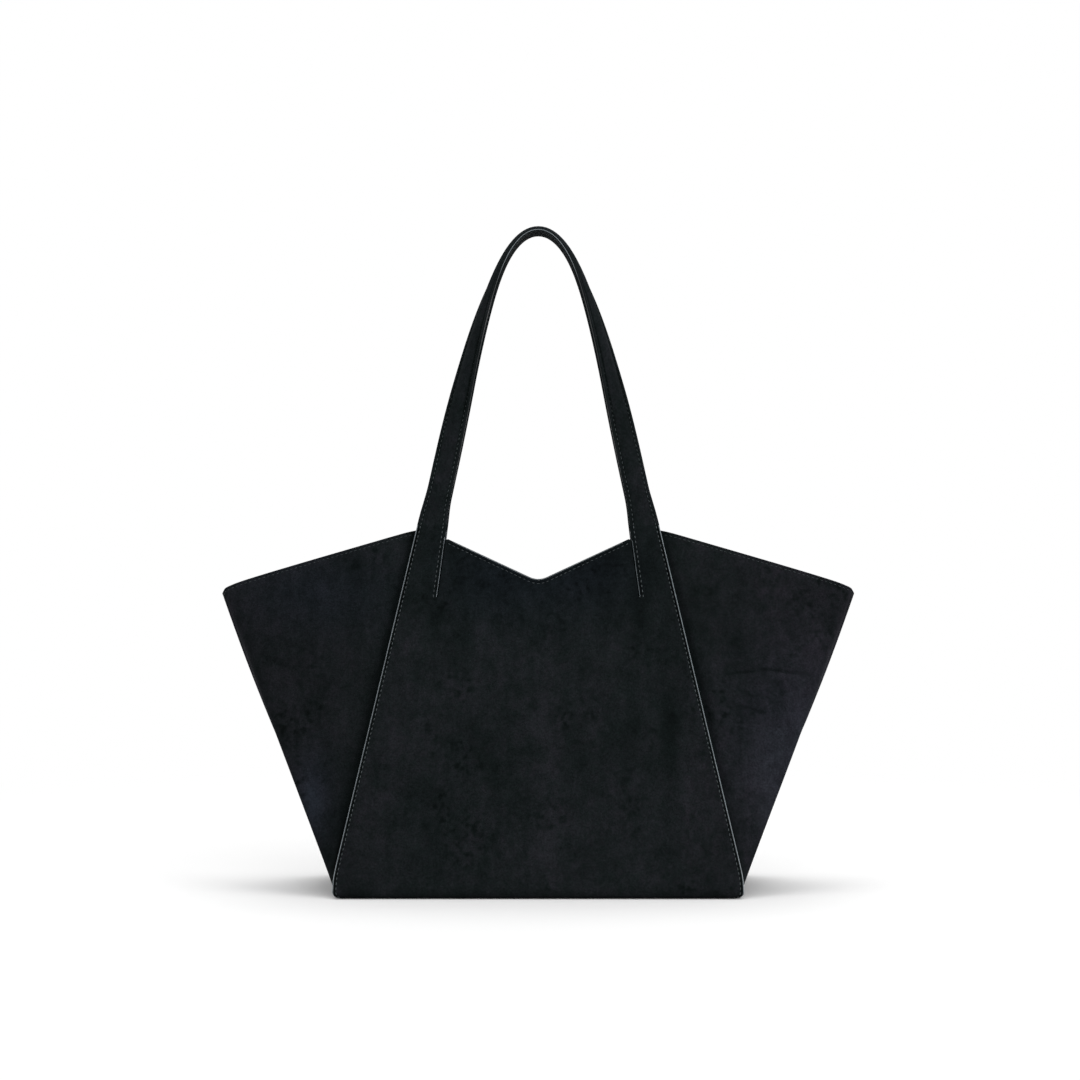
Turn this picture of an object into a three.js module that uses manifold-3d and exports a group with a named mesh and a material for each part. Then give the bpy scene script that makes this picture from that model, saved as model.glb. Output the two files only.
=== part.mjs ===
// A black suede tote bag with a wide base, a narrow mouth and side gussets that fold out as pointed wings.
// The upper corners of the front and back panels run on as the straps of two tall carrying handles.

import * as THREE from 'three';
import { mergeVertices } from 'three/addons/utils/BufferGeometryUtils.js';
import Module from 'manifold-3d';

const wasm = await Module();
wasm.setup();

// Driving dimensions in millimetres. X runs along the bag, the front faces -Y, Z is up from the floor.
const baseWidth = 317;
const baseDepth = 160;
const baseRoll = 9; // outer radius where the panels roll under the base
const baseLap = 28; // how far a panel reaches under the base from the bag's face
const baseUpright = 15; // height up to which a panel's side edges stand upright
const baseCorner = 6; // rounding of a panel's lower corners

const rimHeight = 284; // where the strap's outer edge leaves the wing
const rimWidth = 194; // across the outer edges of both strap roots
const mouthDepth = 36; // front face to back face at the rim
const notchDepth = 41; // from rimHeight down to the point of the V before it is rounded
const notchRise = 34.5; // the V's climb from its point to the strap
const notchRound = 8; // length of the V's sides taken by the rounding at its point

const strapRootWidth = 23; // level width of a strap where it grows out of the panel
const slitLength = 46; // cut between the strap's root and the panel's middle
const slitSpread = 6; // how far the slit leans outwards on its way down
const slitGap = 0.8;

const wingSpan = 506; // from wing tip to wing tip
const wingTipDrop = 48.5; // from rimHeight down to the tip
const wingTipDepth = 19; // front to back across the folded tip
const wingNose = 4; // how far the tip's crease stands out beyond its folds
const wingBow = 2; // how far a wing's folded edge bows out between its foot and its tip
const gussetCorner = 10; // from the panel down the side to the fold at the base
const gussetSeam = 9; // strip of the gusset that is sewn behind a panel
const gussetSeamInset = 1.5; // from the panel's cut edge to the seam strip's turn
const seamTurn = 3;
const foldRoundFoot = 5;
const foldRoundTip = 18;
const bendShare = 0.45; // most of the way to the next fold that one bend takes

const panelSkin = 2.2; // suede bonded to suede, with painted edges
const gussetSkin = 1.6;
const interlining = 1.4;
const liningCloth = 1;
const baseBoard = 2;
const seat = 0.3; // clearance between pieces that touch

const facingDepth = 28; // from the point of the V down to the lower edge of the rim facing
const liningInset = 8; // from a panel's edge to the edge of its lining
const anchorLength = 52;

const crownHeight = 522.5; // middle of the strap's edge at the top of a handle
const strapWidth = 19.5;
const strapSuede = 1.1;
const strapLining = 1;
const strapSplay = 13.2; // degrees between a strap's root and the vertical
const rootPull = 100; // pulls of the curve that a handle follows, at its root and at its crown
const crownPull = 40;
const rootFlare = 32; // length over which the root narrows to the free strap
const padHeight = 2.2; // how far the filler raises the suede in the middle of the strap
const padHalfWidth = 6.5;
const padStart = 0.05; // shares of the way from root to crown between which the padding rises
const padFull = 0.4;
const padEdge = 0.2; // thickness of the filler's skived edge
const fillerLeast = 1.5; // raise of the suede from which there is filler under it
const hingeRise = 4; // from rimHeight up to the line on which a handle folds

const snapRadius = 9;
const snapHeight = 2.4;
const snapBevel = 0.8;
const snapPin = 4.2; // radius of the stud that enters the socket
const snapPinLength = 2.4;
const snapPlay = 0.6;
const snapFloor = 0.7;
const snapDrop = 18; // from the point of the V down to the middle of the snap
const snapPlate = 7.5; // radius of the plate that backs a snap
const snapPlateThickness = 1;

// Sizes that follow from the driving dimensions.
const handleCurveSteps = 18;
const arcSteps = 5;
const overrun = 5; // how far a cutting shape reaches past what it cuts
const middleLayer = panelSkin + seat;
const innerLayer = middleLayer + gussetSkin + seat;
const wallThickness = innerLayer + liningCloth;
const floorTop = panelSkin + seat + baseBoard + seat + liningCloth;
const hingeHeight = rimHeight + hingeRise;
const notchPoint = rimHeight - notchDepth;
const facingFoot = notchPoint - facingDepth;
const strapEdge = strapSuede + seat + strapLining;
const seamMargin = gussetSeamInset + gussetSeam + seat; // from a panel's edge to clear of a seam strip
const rollTop = 2 * baseRoll; // height above which the walls are flat

const rollCentre = new THREE.Vector2(-baseDepth / 2 + baseRoll, baseRoll);
const rimFace = new THREE.Vector2(-mouthDepth / 2, rimHeight);
const rollToRim = rimFace.clone().sub(rollCentre);
const lean = Math.atan2(rollToRim.x, rollToRim.y) + Math.asin(baseRoll / rollToRim.length());

const suede = { color: '#1b1e20', roughness: 0.95, metalness: 0 };
const cloth = { color: '#26272a', roughness: 0.9, metalness: 0 };
const board = { color: '#8a7458', roughness: 0.85, metalness: 0 };
const felt = { color: '#3a3a3c', roughness: 1, metalness: 0 };
const nickel = { color: '#b9bab8', roughness: 0.3, metalness: 1 };

// Solids and their frames.

function toSolid(geometry) {
  const bare = geometry.index ? geometry.toNonIndexed() : geometry.clone();
  bare.deleteAttribute('normal');
  bare.deleteAttribute('uv');
  const merged = mergeVertices(bare);
  const vertProperties = merged.attributes.position.array;
  const triVerts = new Uint32Array(merged.index.array);
  return new wasm.Manifold(new wasm.Mesh({ numProp: 3, vertProperties, triVerts }));
}

function toGeometry(solid) {
  const mesh = solid.getMesh();
  const geometry = new THREE.BufferGeometry();
  geometry.setAttribute('position', new THREE.BufferAttribute(mesh.vertProperties, 3));
  geometry.setIndex(new THREE.BufferAttribute(mesh.triVerts, 1));
  geometry.computeVertexNormals();
  return geometry;
}

function addMesh(group, name, geometry, finish) {
  const mesh = new THREE.Mesh(geometry, new THREE.MeshStandardMaterial(finish));
  mesh.name = name;
  group.add(mesh);
  return mesh;
}

// A side profile, drawn in Y and Z, drawn out across the whole bag.
function profileAlongX(shape) {
  const options = { depth: wingSpan, bevelEnabled: false, curveSegments: arcSteps };
  const geometry = new THREE.ExtrudeGeometry(shape, options);
  const axes = [new THREE.Vector3(0, 1, 0), new THREE.Vector3(0, 0, 1), new THREE.Vector3(1, 0, 0)];
  geometry.applyMatrix4(new THREE.Matrix4().makeBasis(...axes));
  return geometry.translate(-wingSpan / 2, 0, 0);
}

// A front outline, drawn in X and Z, drawn out from the middle of the bag to beyond its face.
function outlineAlongY(shape) {
  const options = { depth: baseDepth / 2 + overrun, bevelEnabled: false, curveSegments: arcSteps };
  const geometry = new THREE.ExtrudeGeometry(shape, options);
  const axes = [new THREE.Vector3(1, 0, 0), new THREE.Vector3(0, 0, 1), new THREE.Vector3(0, -1, 0)];
  return geometry.applyMatrix4(new THREE.Matrix4().makeBasis(...axes));
}

function cutToOutline(profile, outline) {
  return toGeometry(toSolid(profileAlongX(profile)).intersect(toSolid(outlineAlongY(outline))));
}

// A closed sheet between two grids of points that face each other.
function sheetBetween(outer, inner) {
  const rows = outer.length;
  const columns = outer[0].length;
  const points = [...outer.flat(), ...inner.flat()];
  const faces = [];
  const top = (i, j) => i * columns + j;
  const under = (i, j) => rows * columns + top(i, j);
  const quad = (a, b, c, d) => faces.push(a, b, c, a, c, d);
  for (let i = 0; i < rows - 1; i++) {
    for (let j = 0; j < columns - 1; j++) {
      quad(top(i, j), top(i, j + 1), top(i + 1, j + 1), top(i + 1, j));
      quad(under(i, j), under(i + 1, j), under(i + 1, j + 1), under(i, j + 1));
    }
    quad(top(i, 0), top(i + 1, 0), under(i + 1, 0), under(i, 0));
    quad(top(i + 1, columns - 1), top(i, columns - 1), under(i, columns - 1), under(i + 1, columns - 1));
  }
  for (let j = 0; j < columns - 1; j++) {
    quad(top(0, j + 1), top(0, j), under(0, j), under(0, j + 1));
    quad(top(rows - 1, j), top(rows - 1, j + 1), under(rows - 1, j + 1), under(rows - 1, j));
  }
  const geometry = new THREE.BufferGeometry().setFromPoints(points);
  geometry.setIndex(faces);
  geometry.computeVertexNormals();
  return geometry;
}

// The grid moved inwards along its own normals.
function insetGrid(grid, depth) {
  const last = grid.length - 1;
  return grid.map((row, i) => row.map((point, j) => {
    const across = row[Math.min(j + 1, row.length - 1)].clone().sub(row[Math.max(j - 1, 0)]);
    const up = grid[Math.min(i + 1, last)][j].clone().sub(grid[Math.max(i - 1, 0)][j]);
    return point.clone().addScaledVector(across.cross(up).normalize(), -depth);
  }));
}

// The front wall: it leans back from the roll at the base up to the rim.

function slopeY(z, inset) {
  return rimFace.x + (z - rimHeight) * Math.tan(lean) + inset / Math.cos(lean);
}

function wallY(z, inset) {
  const radius = baseRoll - inset;
  if (z >= baseRoll + radius * Math.sin(lean)) return slopeY(z, inset);
  const halfChord = Math.max(0, radius ** 2 - (z - baseRoll) ** 2);
  return rollCentre.x - Math.sqrt(halfChord);
}

function panelHalf(z) {
  const taper = (baseWidth - rimWidth) / 2 / (rimHeight - baseUpright);
  return baseWidth / 2 - Math.max(0, z - baseUpright) * taper;
}

// A mirrored outline from the points of its right half, in order from the foot to the top.
function mirroredOutline(right) {
  const left = right.map(([x, z]) => new THREE.Vector2(-x, z)).reverse();
  return new THREE.Shape([...right.map(([x, z]) => new THREE.Vector2(x, z)), ...left]);
}

function slabProfile(inset, thickness) {
  const low = floorTop + seat;
  const high = hingeHeight;
  const corners = [[low, inset], [high, inset], [high, inset + thickness], [low, inset + thickness]];
  return new THREE.Shape(corners.map(([z, depth]) => new THREE.Vector2(slopeY(z, depth), z)));
}

// The strap's inner edge runs on below the rim as the side of the slit.
const slitTop = panelHalf(rimHeight) - strapRootWidth;
const notchEnd = notchPoint + notchRise;

function strapInnerX(z) {
  return slitTop + (notchEnd - z) * slitSpread / slitLength;
}

function notchZ(x) {
  return notchPoint + notchRise * x / slitTop;
}

function panelOutline() {
  const half = baseWidth / 2;
  const slitFoot = notchEnd - slitLength;
  const roundX = notchRound * Math.cos(Math.atan2(notchRise, slitTop));
  const shape = new THREE.Shape();
  shape.moveTo(-half + baseCorner, 0);
  shape.lineTo(half - baseCorner, 0);
  shape.quadraticCurveTo(half, 0, half, baseCorner);
  shape.lineTo(half, baseUpright);
  const rightTop = [
    [panelHalf(hingeHeight), hingeHeight],
    [strapInnerX(hingeHeight), hingeHeight],
    [strapInnerX(slitFoot), slitFoot],
    [strapInnerX(slitFoot) - slitGap, slitFoot],
    [strapInnerX(notchEnd) - slitGap, notchZ(strapInnerX(notchEnd) - slitGap)],
  ];
  rightTop.forEach(([x, z]) => shape.lineTo(x, z));
  shape.lineTo(roundX, notchZ(roundX));
  shape.quadraticCurveTo(0, notchPoint, -roundX, notchZ(roundX));
  rightTop.reverse().forEach(([x, z]) => shape.lineTo(-x, z));
  shape.lineTo(-half, baseUpright);
  shape.lineTo(-half, baseCorner);
  shape.quadraticCurveTo(-half, 0, -half + baseCorner, 0);
  return shape;
}

// One panel: a leaning face that rolls under the base, cut to a trapezoid with a V and two strap roots.
function panel() {
  const lapEnd = -baseDepth / 2 + baseLap;
  const wallAngle = Math.PI - lean;
  const down = 1.5 * Math.PI;
  const profile = new THREE.Shape();
  profile.moveTo(lapEnd, 0);
  profile.lineTo(rollCentre.x, 0);
  profile.absarc(rollCentre.x, rollCentre.y, baseRoll, down, wallAngle, true);
  profile.lineTo(slopeY(hingeHeight + overrun, 0), hingeHeight + overrun);
  profile.lineTo(slopeY(hingeHeight + overrun, panelSkin), hingeHeight + overrun);
  profile.absarc(rollCentre.x, rollCentre.y, baseRoll - panelSkin, wallAngle, down, false);
  profile.lineTo(lapEnd, panelSkin);
  return cutToOutline(profile, panelOutline());
}

// The stiff layer between the panel and its lining, clear of the gussets' seam strips.
function panelInterlining() {
  const foot = rollTop;
  const head = notchPoint - snapDrop - snapRadius - seat;
  const outline = mirroredOutline([
    [panelHalf(foot) - seamMargin, foot],
    [panelHalf(head) - seamMargin, head],
  ]);
  return cutToOutline(slabProfile(middleLayer, interlining), outline);
}

// The lining covers the seam strips above the roll and passes between them below it.
function panelLining() {
  const foot = floorTop + seat;
  const shoulder = rollTop;
  const head = facingFoot - seat;
  const outline = mirroredOutline([
    [panelHalf(foot) - seamMargin - seat, foot],
    [panelHalf(shoulder) - seamMargin - seat, shoulder],
    [panelHalf(shoulder) - liningInset, shoulder],
    [panelHalf(head) - liningInset, head],
  ]);
  return cutToOutline(slabProfile(innerLayer, liningCloth), outline);
}

// The suede band inside the rim, cut to the same V as the panel.
function rimFacing() {
  const shoulder = strapInnerX(notchEnd);
  const outline = mirroredOutline([
    [panelHalf(facingFoot) - liningInset, facingFoot],
    [panelHalf(rimHeight) - liningInset, rimHeight],
    [shoulder, rimHeight],
    [shoulder, notchZ(shoulder)],
    [0, notchPoint],
  ]);
  return cutToOutline(slabProfile(innerLayer, liningCloth), outline);
}

// A strip behind a strap's root that carries the pull of the handle into the panel.
function strapAnchor(side) {
  const head = rimHeight;
  const foot = head - anchorLength;
  const corners = [
    [strapInnerX(foot), foot],
    [panelHalf(foot) - seamMargin, foot],
    [panelHalf(head) - seamMargin, head],
    [strapInnerX(head), head],
  ];
  const outline = new THREE.Shape(corners.map(([x, z]) => new THREE.Vector2(side * x, z)));
  return cutToOutline(slabProfile(middleLayer, gussetSkin), outline);
}

// The right gusset: a seam strip behind each panel, a wing facet at front and back, a side between them.

const gussetFoot = middleLayer;
const wingTipZ = rimHeight - wingTipDrop;
const sideFoot = baseWidth / 2 - gussetSeamInset;
const foldFoot = new THREE.Vector3(sideFoot, wallY(baseRoll, middleLayer) + gussetCorner, gussetFoot);
const foldTip = new THREE.Vector3(wingSpan / 2 - wingNose, -wingTipDepth / 2, wingTipZ + wingNose);
const creaseFoot = new THREE.Vector3(sideFoot + wingNose / 2, 0, gussetFoot);
const creaseTip = new THREE.Vector3(wingSpan / 2, 0, wingTipZ);

// A point on the way to another, never past the middle, so that two bends that face each other keep apart.
function towards(from, to, distance) {
  const way = to.clone().sub(from);
  return from.clone().add(way.clampLength(0, Math.min(distance, way.length() * bendShare)));
}

// Half of the gusset's section at one height of its seam, from the seam strip's free edge to the crease.
function gussetHalfSection(z) {
  const rise = (z - gussetFoot) / (rimHeight - gussetFoot);
  const depth = wallY(z, middleLayer);
  const turnX = panelHalf(z) - gussetSeamInset;
  const free = new THREE.Vector3(turnX - gussetSeam, depth, z);
  const turn = new THREE.Vector3(turnX, depth, z);
  const bow = new THREE.Vector3(wingBow * Math.sin(Math.PI * rise), 0, 0);
  const fold = foldFoot.clone().lerp(foldTip, rise).add(bow);
  const crease = creaseFoot.clone().lerp(creaseTip, rise).add(bow);
  const wingRound = THREE.MathUtils.lerp(foldRoundFoot, foldRoundTip, rise);
  const sideRound = THREE.MathUtils.lerp(foldRoundFoot, wingTipDepth / 2, rise);
  const bend = new THREE.QuadraticBezierCurve3(
    towards(fold, turn, wingRound),
    fold,
    towards(fold, crease, sideRound),
  );
  const bendPoints = bend.getPoints(arcSteps - 1);
  const wingStart = towards(turn, fold, seamTurn);
  const wingMiddle = wingStart.clone().lerp(bendPoints[0], 0.5);
  return [free, towards(turn, free, seamTurn), wingStart, wingMiddle, ...bendPoints, crease];
}

function gussetSection(z) {
  const front = gussetHalfSection(z);
  const back = front.slice(0, -1).reverse().map((p) => new THREE.Vector3(p.x, -p.y, p.z));
  return [...front, ...back];
}

function evenly(from, to, steps) {
  return Array.from({ length: steps + 1 }, (_, i) => THREE.MathUtils.lerp(from, to, i / steps));
}

// Heights of the seam at which the gusset is drawn: below its lining, along it and along the rim facing.
const footHeights = evenly(gussetFoot, floorTop + seat, 2).slice(0, -1);
const rollHeights = evenly(floorTop + seat, rollTop, 2).slice(0, -1);
const liningHeights = [...rollHeights, ...evenly(rollTop, facingFoot - seat, arcSteps)];
const facingHeights = evenly(facingFoot, rimHeight, 2);
const gussetGrid = [...footHeights, ...liningHeights, ...facingHeights].map(gussetSection);

function gusset() {
  return sheetBetween(gussetGrid, insetGrid(gussetGrid, gussetSkin));
}

// A layer on the gusset's inner face over some of those heights, without the seam strips.
function gussetLayer(firstRow, rows) {
  const stripColumns = 2;
  const part = (depth) => insetGrid(gussetGrid, depth)
    .slice(firstRow, firstRow + rows)
    .map((row) => row.slice(stripColumns, -stripColumns));
  const outer = gussetSkin + seat;
  return sheetBetween(part(outer), part(outer + liningCloth));
}

function gussetLining() {
  return gussetLayer(footHeights.length, liningHeights.length);
}

function gussetFacing() {
  return gussetLayer(footHeights.length + liningHeights.length, facingHeights.length);
}

// The floor of the bag: a suede panel between the laps, a board that stiffens it, and the lining.

function floorSheet(width, depth, corner, foot, thickness) {
  const x = width / 2;
  const y = depth / 2;
  const shape = new THREE.Shape();
  shape.moveTo(-x + corner, -y);
  shape.lineTo(x - corner, -y);
  shape.absarc(x - corner, -y + corner, corner, -Math.PI / 2, 0, false);
  shape.absarc(x - corner, y - corner, corner, 0, Math.PI / 2, false);
  shape.absarc(-x + corner, y - corner, corner, Math.PI / 2, Math.PI, false);
  shape.absarc(-x + corner, -y + corner, corner, Math.PI, 1.5 * Math.PI, false);
  const options = { depth: thickness, bevelEnabled: false, curveSegments: arcSteps };
  return new THREE.ExtrudeGeometry(shape, options).translate(0, 0, foot);
}

// A handle: a crowned suede strap over a filler, with a flat lining, twisted to lie flat in the hand.

const rootX = panelHalf(hingeHeight) - strapRootWidth / 2;
const splay = THREE.MathUtils.degToRad(strapSplay);
const handleRoot = new THREE.Vector3(rootX, wallY(hingeHeight, 0) + strapEdge / 2, hingeHeight);
const crown = new THREE.Vector3(0, -(strapWidth + seat) / 2 - seat, crownHeight);
const rootDirection = new THREE.Vector3(-Math.sin(splay), 0, Math.cos(splay));
const rootControl = handleRoot.clone().addScaledVector(rootDirection, rootPull);
rootControl.y = crown.y;
const crownControl = crown.clone().setX(crownPull);
const handleCurve = new THREE.CubicBezierCurve3(handleRoot, rootControl, crownControl, crown);
const legLength = handleCurve.getLength();

// Place and axes of the strap's section at a share of the way from its right root to the crown.
function strapFrame(share, extra, mirror) {
  const along = handleCurve.getTangentAt(share);
  const place = handleCurve.getPointAt(share).addScaledVector(along, -extra);
  const outwards = new THREE.Vector3(along.z, 0, -along.x).normalize();
  const forwards = outwards.clone().cross(along).normalize();
  const twist = Math.PI / 2 * Math.sin(Math.PI / 2 * share) ** 2;
  const [turned, kept] = [Math.sin(twist), Math.cos(twist)];
  const face = forwards.clone().multiplyScalar(kept).addScaledVector(outwards, turned);
  const across = outwards.clone().multiplyScalar(kept).addScaledVector(forwards, -turned);
  [place, face, across].forEach((v) => v.setX(mirror * v.x));
  return { share, place, face, across };
}

// Frames from the right root over the crown to the left root. Each leg starts below the fold line.
function strapFrames() {
  const shares = Array.from({ length: handleCurveSteps + 1 }, (_, i) => i / handleCurveSteps);
  const leg = (mirror) => [strapFrame(0, overrun, mirror), ...shares.map((s) => strapFrame(s, 0, mirror))];
  return [...leg(1), ...leg(-1).reverse().slice(1)];
}

function strapHalfWidth(share) {
  const rootHalf = strapRootWidth / 2 * Math.cos(splay);
  const flare = Math.max(0, 1 - share * legLength / rootFlare);
  return THREE.MathUtils.lerp(strapWidth / 2, rootHalf, flare ** 2);
}

function padding(share) {
  return padHeight * THREE.MathUtils.smoothstep(share, padStart, padFull);
}

// The raised middle of the strap, from 0 at its stitched margins to 1 along its middle.
function crownShape(x) {
  return Math.abs(x) < padHalfWidth ? Math.cos(Math.PI / 2 * x / padHalfWidth) ** 2 : 0;
}

function strapGrid(frames, columns, height) {
  return frames.map((frame) => columns(frame.share).map((x) => frame.place.clone()
    .addScaledVector(frame.across, x)
    .addScaledVector(frame.face, height(frame.share, x))));
}

// Whatever reaches below the fold line is cut off level.
function cutAtFoldLine(geometry) {
  const size = [wingSpan, baseDepth, rimHeight];
  const below = new THREE.BoxGeometry(...size).translate(0, 0, hingeHeight + seat - rimHeight / 2);
  return toGeometry(toSolid(geometry).subtract(toSolid(below)));
}

const liningTop = strapLining - strapEdge / 2;

const ridgeColumns = [-1, -0.5, 0, 0.5, 1].map((part) => part * padHalfWidth);

function strapColumns(share) {
  const half = strapHalfWidth(share);
  return [-half, ...ridgeColumns, half];
}

function handleStrap() {
  const top = (share, x) => strapEdge / 2 + padding(share) * crownShape(x);
  const under = (share, x) => top(share, x) - strapSuede;
  const frames = strapFrames();
  const sheet = sheetBetween(strapGrid(frames, strapColumns, top), strapGrid(frames, strapColumns, under));
  return cutAtFoldLine(sheet);
}

function handleLining() {
  const frames = strapFrames();
  const top = strapGrid(frames, strapColumns, () => liningTop);
  return cutAtFoldLine(sheetBetween(top, strapGrid(frames, strapColumns, () => -strapEdge / 2)));
}

// The filler ends where the padding is too thin for it, and its sides are skived to a thin edge.
function handleFiller() {
  const least = seat + padEdge;
  const frames = strapFrames().filter((frame) => padding(frame.share) > fillerLeast);
  const columns = (share) => {
    const half = padHalfWidth * 2 / Math.PI * Math.acos(Math.sqrt(least / padding(share)));
    return [-half, ...ridgeColumns.slice(1, -1), half];
  };
  const foot = liningTop + seat;
  const top = (share, x) => foot + padding(share) * crownShape(x) - seat;
  return sheetBetween(strapGrid(frames, columns, top), strapGrid(frames, columns, () => foot));
}

// The magnetic snap: a stud on the front facing, a socket on the back one, each riveted to a plate.

function snapHalf(middle) {
  const rim = [
    [0, 0],
    [snapRadius, 0],
    [snapRadius, snapHeight - snapBevel],
    [snapRadius - snapBevel, snapHeight],
  ];
  const steps = 4 * arcSteps;
  return new THREE.LatheGeometry([...rim, ...middle].map(([r, y]) => new THREE.Vector2(r, y)), steps);
}

function snapStud() {
  const head = snapHeight + snapPinLength;
  return snapHalf([
    [snapPin, snapHeight],
    [snapPin, head - snapBevel],
    [snapPin - snapBevel, head],
    [0, head],
  ]);
}

function snapSocket() {
  const hole = snapPin + snapPlay;
  return snapHalf([[hole, snapHeight], [hole, snapFloor], [0, snapFloor]]);
}

function snapBacking() {
  const plate = new THREE.CylinderGeometry(snapPlate, snapPlate, snapPlateThickness, 4 * arcSteps);
  return plate.translate(0, snapPlateThickness / 2, 0);
}

function placeOnWall(mesh, inset) {
  const z = notchPoint - snapDrop;
  mesh.position.set(0, slopeY(z, inset), z);
  mesh.rotation.x = -lean;
}

// The front half of the bag stands as drawn and the back half is the same turned round.
function walls(label, snap) {
  const half = new THREE.Group();
  addMesh(half, `${label}_panel`, panel(), suede);
  addMesh(half, `${label}_interlining`, panelInterlining(), felt);
  addMesh(half, `${label}_lining`, panelLining(), cloth);
  addMesh(half, `${label}_rim_facing`, rimFacing(), suede);
  addMesh(half, `${label}_strap_anchor_1`, strapAnchor(-1), felt);
  addMesh(half, `${label}_strap_anchor_2`, strapAnchor(1), felt);
  addMesh(half, `${label}_handle_strap`, handleStrap(), suede);
  addMesh(half, `${label}_handle_filler`, handleFiller(), felt);
  addMesh(half, `${label}_handle_lining`, handleLining(), suede);
  placeOnWall(addMesh(half, snap.name, snap.shape, nickel), wallThickness + seat);
  placeOnWall(addMesh(half, `${snap.name}_plate`, snapBacking(), nickel), middleLayer + seat);
  return half;
}

function sides(label) {
  const side = new THREE.Group();
  addMesh(side, `${label}_gusset`, gusset(), suede);
  addMesh(side, `${label}_gusset_lining`, gussetLining(), cloth);
  addMesh(side, `${label}_gusset_facing`, gussetFacing(), suede);
  return side;
}

function floor() {
  const base = new THREE.Group();
  const clearDepth = baseDepth - 2 * (baseRoll + middleLayer);
  const clearWidth = baseWidth - 2 * (gussetSeamInset + gussetSkin + liningCloth + seat);
  const boardCorner = gussetCorner + seamTurn;
  const boardFoot = panelSkin + seat;
  const liningFoot = boardFoot + baseBoard + seat;
  const panelDepth = baseDepth - 2 * (baseLap + seat);
  const panelWidth = baseWidth - 2 * gussetSeamInset;
  const inner = (foot, thickness) => floorSheet(clearWidth, clearDepth, boardCorner, foot, thickness);
  addMesh(base, 'base_panel', floorSheet(panelWidth, panelDepth, seamTurn, 0, panelSkin), suede);
  addMesh(base, 'base_board', inner(boardFoot, baseBoard), board);
  addMesh(base, 'base_lining', inner(liningFoot, liningCloth), cloth);
  return base;
}

const tote = new THREE.Group();
tote.name = 'tote_bag';
const back = walls('back', { name: 'snap_socket', shape: snapSocket() });
const left = sides('left');
back.rotation.z = Math.PI;
left.rotation.z = Math.PI;
tote.add(floor(), walls('front', { name: 'snap_stud', shape: snapStud() }), back, sides('right'), left);

export default tote;
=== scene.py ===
import math

import bpy
import numpy as np
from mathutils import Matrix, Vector, geometry


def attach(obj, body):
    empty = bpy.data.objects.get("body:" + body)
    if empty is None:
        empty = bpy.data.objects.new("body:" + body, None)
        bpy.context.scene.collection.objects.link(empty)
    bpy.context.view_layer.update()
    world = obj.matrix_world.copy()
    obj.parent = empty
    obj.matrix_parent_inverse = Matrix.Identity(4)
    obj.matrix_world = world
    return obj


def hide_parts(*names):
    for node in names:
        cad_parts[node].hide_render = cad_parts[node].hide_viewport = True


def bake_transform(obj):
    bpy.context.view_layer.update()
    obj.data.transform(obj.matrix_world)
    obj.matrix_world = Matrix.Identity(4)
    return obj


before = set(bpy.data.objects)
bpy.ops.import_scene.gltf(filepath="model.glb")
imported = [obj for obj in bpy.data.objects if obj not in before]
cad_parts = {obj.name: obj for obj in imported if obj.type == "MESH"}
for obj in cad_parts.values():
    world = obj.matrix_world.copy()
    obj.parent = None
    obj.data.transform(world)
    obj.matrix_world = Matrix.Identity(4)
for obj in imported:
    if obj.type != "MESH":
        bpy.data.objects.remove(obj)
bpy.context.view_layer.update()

# The view: a product photograph taken straight from the front, with a long lens two metres away
# and about level with the middle of the bag. The frame is square.
lens = bpy.data.cameras.new("front_view")
lens.sensor_width = 36
lens.lens = 83.3
viewpoint = bpy.data.objects.new("front_view", lens)
viewpoint.location = (0.0014, -2.0, 0.276)
viewpoint.rotation_euler = (math.radians(90), 0, 0)
bpy.context.scene.collection.objects.link(viewpoint)
bpy.context.scene.camera = viewpoint

# Front and back panel: two splits of black suede, glued flesh to flesh and cut as one, a trapezoid with a V
# in its rim and a slit beside each strap root. The lower end rolls under the base, and the cut edges are
# sanded round and painted. Sizes in this file are in millimetres until a mesh is made.
base_half = 158.5
rim_half = 97.0
rim_height = 284.0
fold_height = 288.0  # where a strap leaves the panel
upright = 15.0  # height where the side edges turn from upright to their taper
edge_bend = 5.0  # how softly they turn there
bend_top = 34.0
corner = 6.0
base_front = -80.0
rim_front = -18.0
roll = 5.0  # outer radius where the panel turns under the base
lap = 28.0  # how far it reaches under the base
lap_end = base_front + lap
lap_flat = lap - roll
slope = (rim_front - base_front - roll, rim_height - roll)
lean = math.atan2(*slope) + math.asin(roll / math.hypot(*slope))
roll_end = lap_flat + roll * (math.pi / 2 + lean)
roll_top = roll * (1 + math.sin(lean))
notch_point = 243.0
notch_rise = 34.5
notch_round = 8.0
slit_top = 74.0  # half the distance between the slits at the rim
slit_foot = 231.5
slit_spread = 6.0  # how far a slit leans outwards over its length, going down
slit_length = 46.0
slit_gap = 0.8
panel_thickness = 2.2
belly = 2.4
belly_height = 205.0
stitch_inset = 2.8
stitch_groove = 0.3
slit_groove = 0.12
slit_clear = 5.0  # how far below its foot a slit changes the rows of stitches
rim_clear = 4.6
tongue_clear = 6.0  # how far from a slit the tongue has no stitches
strap_clear = 4.5
groove_width = 0.7
groove_rings = (2.0, stitch_inset, 3.6, 5.5)  # distances from the edge where a mesh follows the groove
groove_shade_line = 1.9  # between the stitches and the edge, where a line of painted shade lies darkest
groove_shade_width = 0.6


def side_edge(z):
    """Half the panel's width at each height: upright at the foot, then tapered."""
    past = z - upright
    climbed = (past + np.sqrt(past ** 2 + edge_bend ** 2)) / 2
    return base_half - climbed * (base_half - rim_half) / (rim_height - upright)


def strap_inner(z):
    """How far a strap root's inner edge is from the middle."""
    return slit_top + (notch_point + notch_rise - z) * slit_spread / slit_length


def rim_of_v(x):
    """Height of the V's straight arms."""
    return notch_point + notch_rise * np.abs(x) / slit_top


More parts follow.
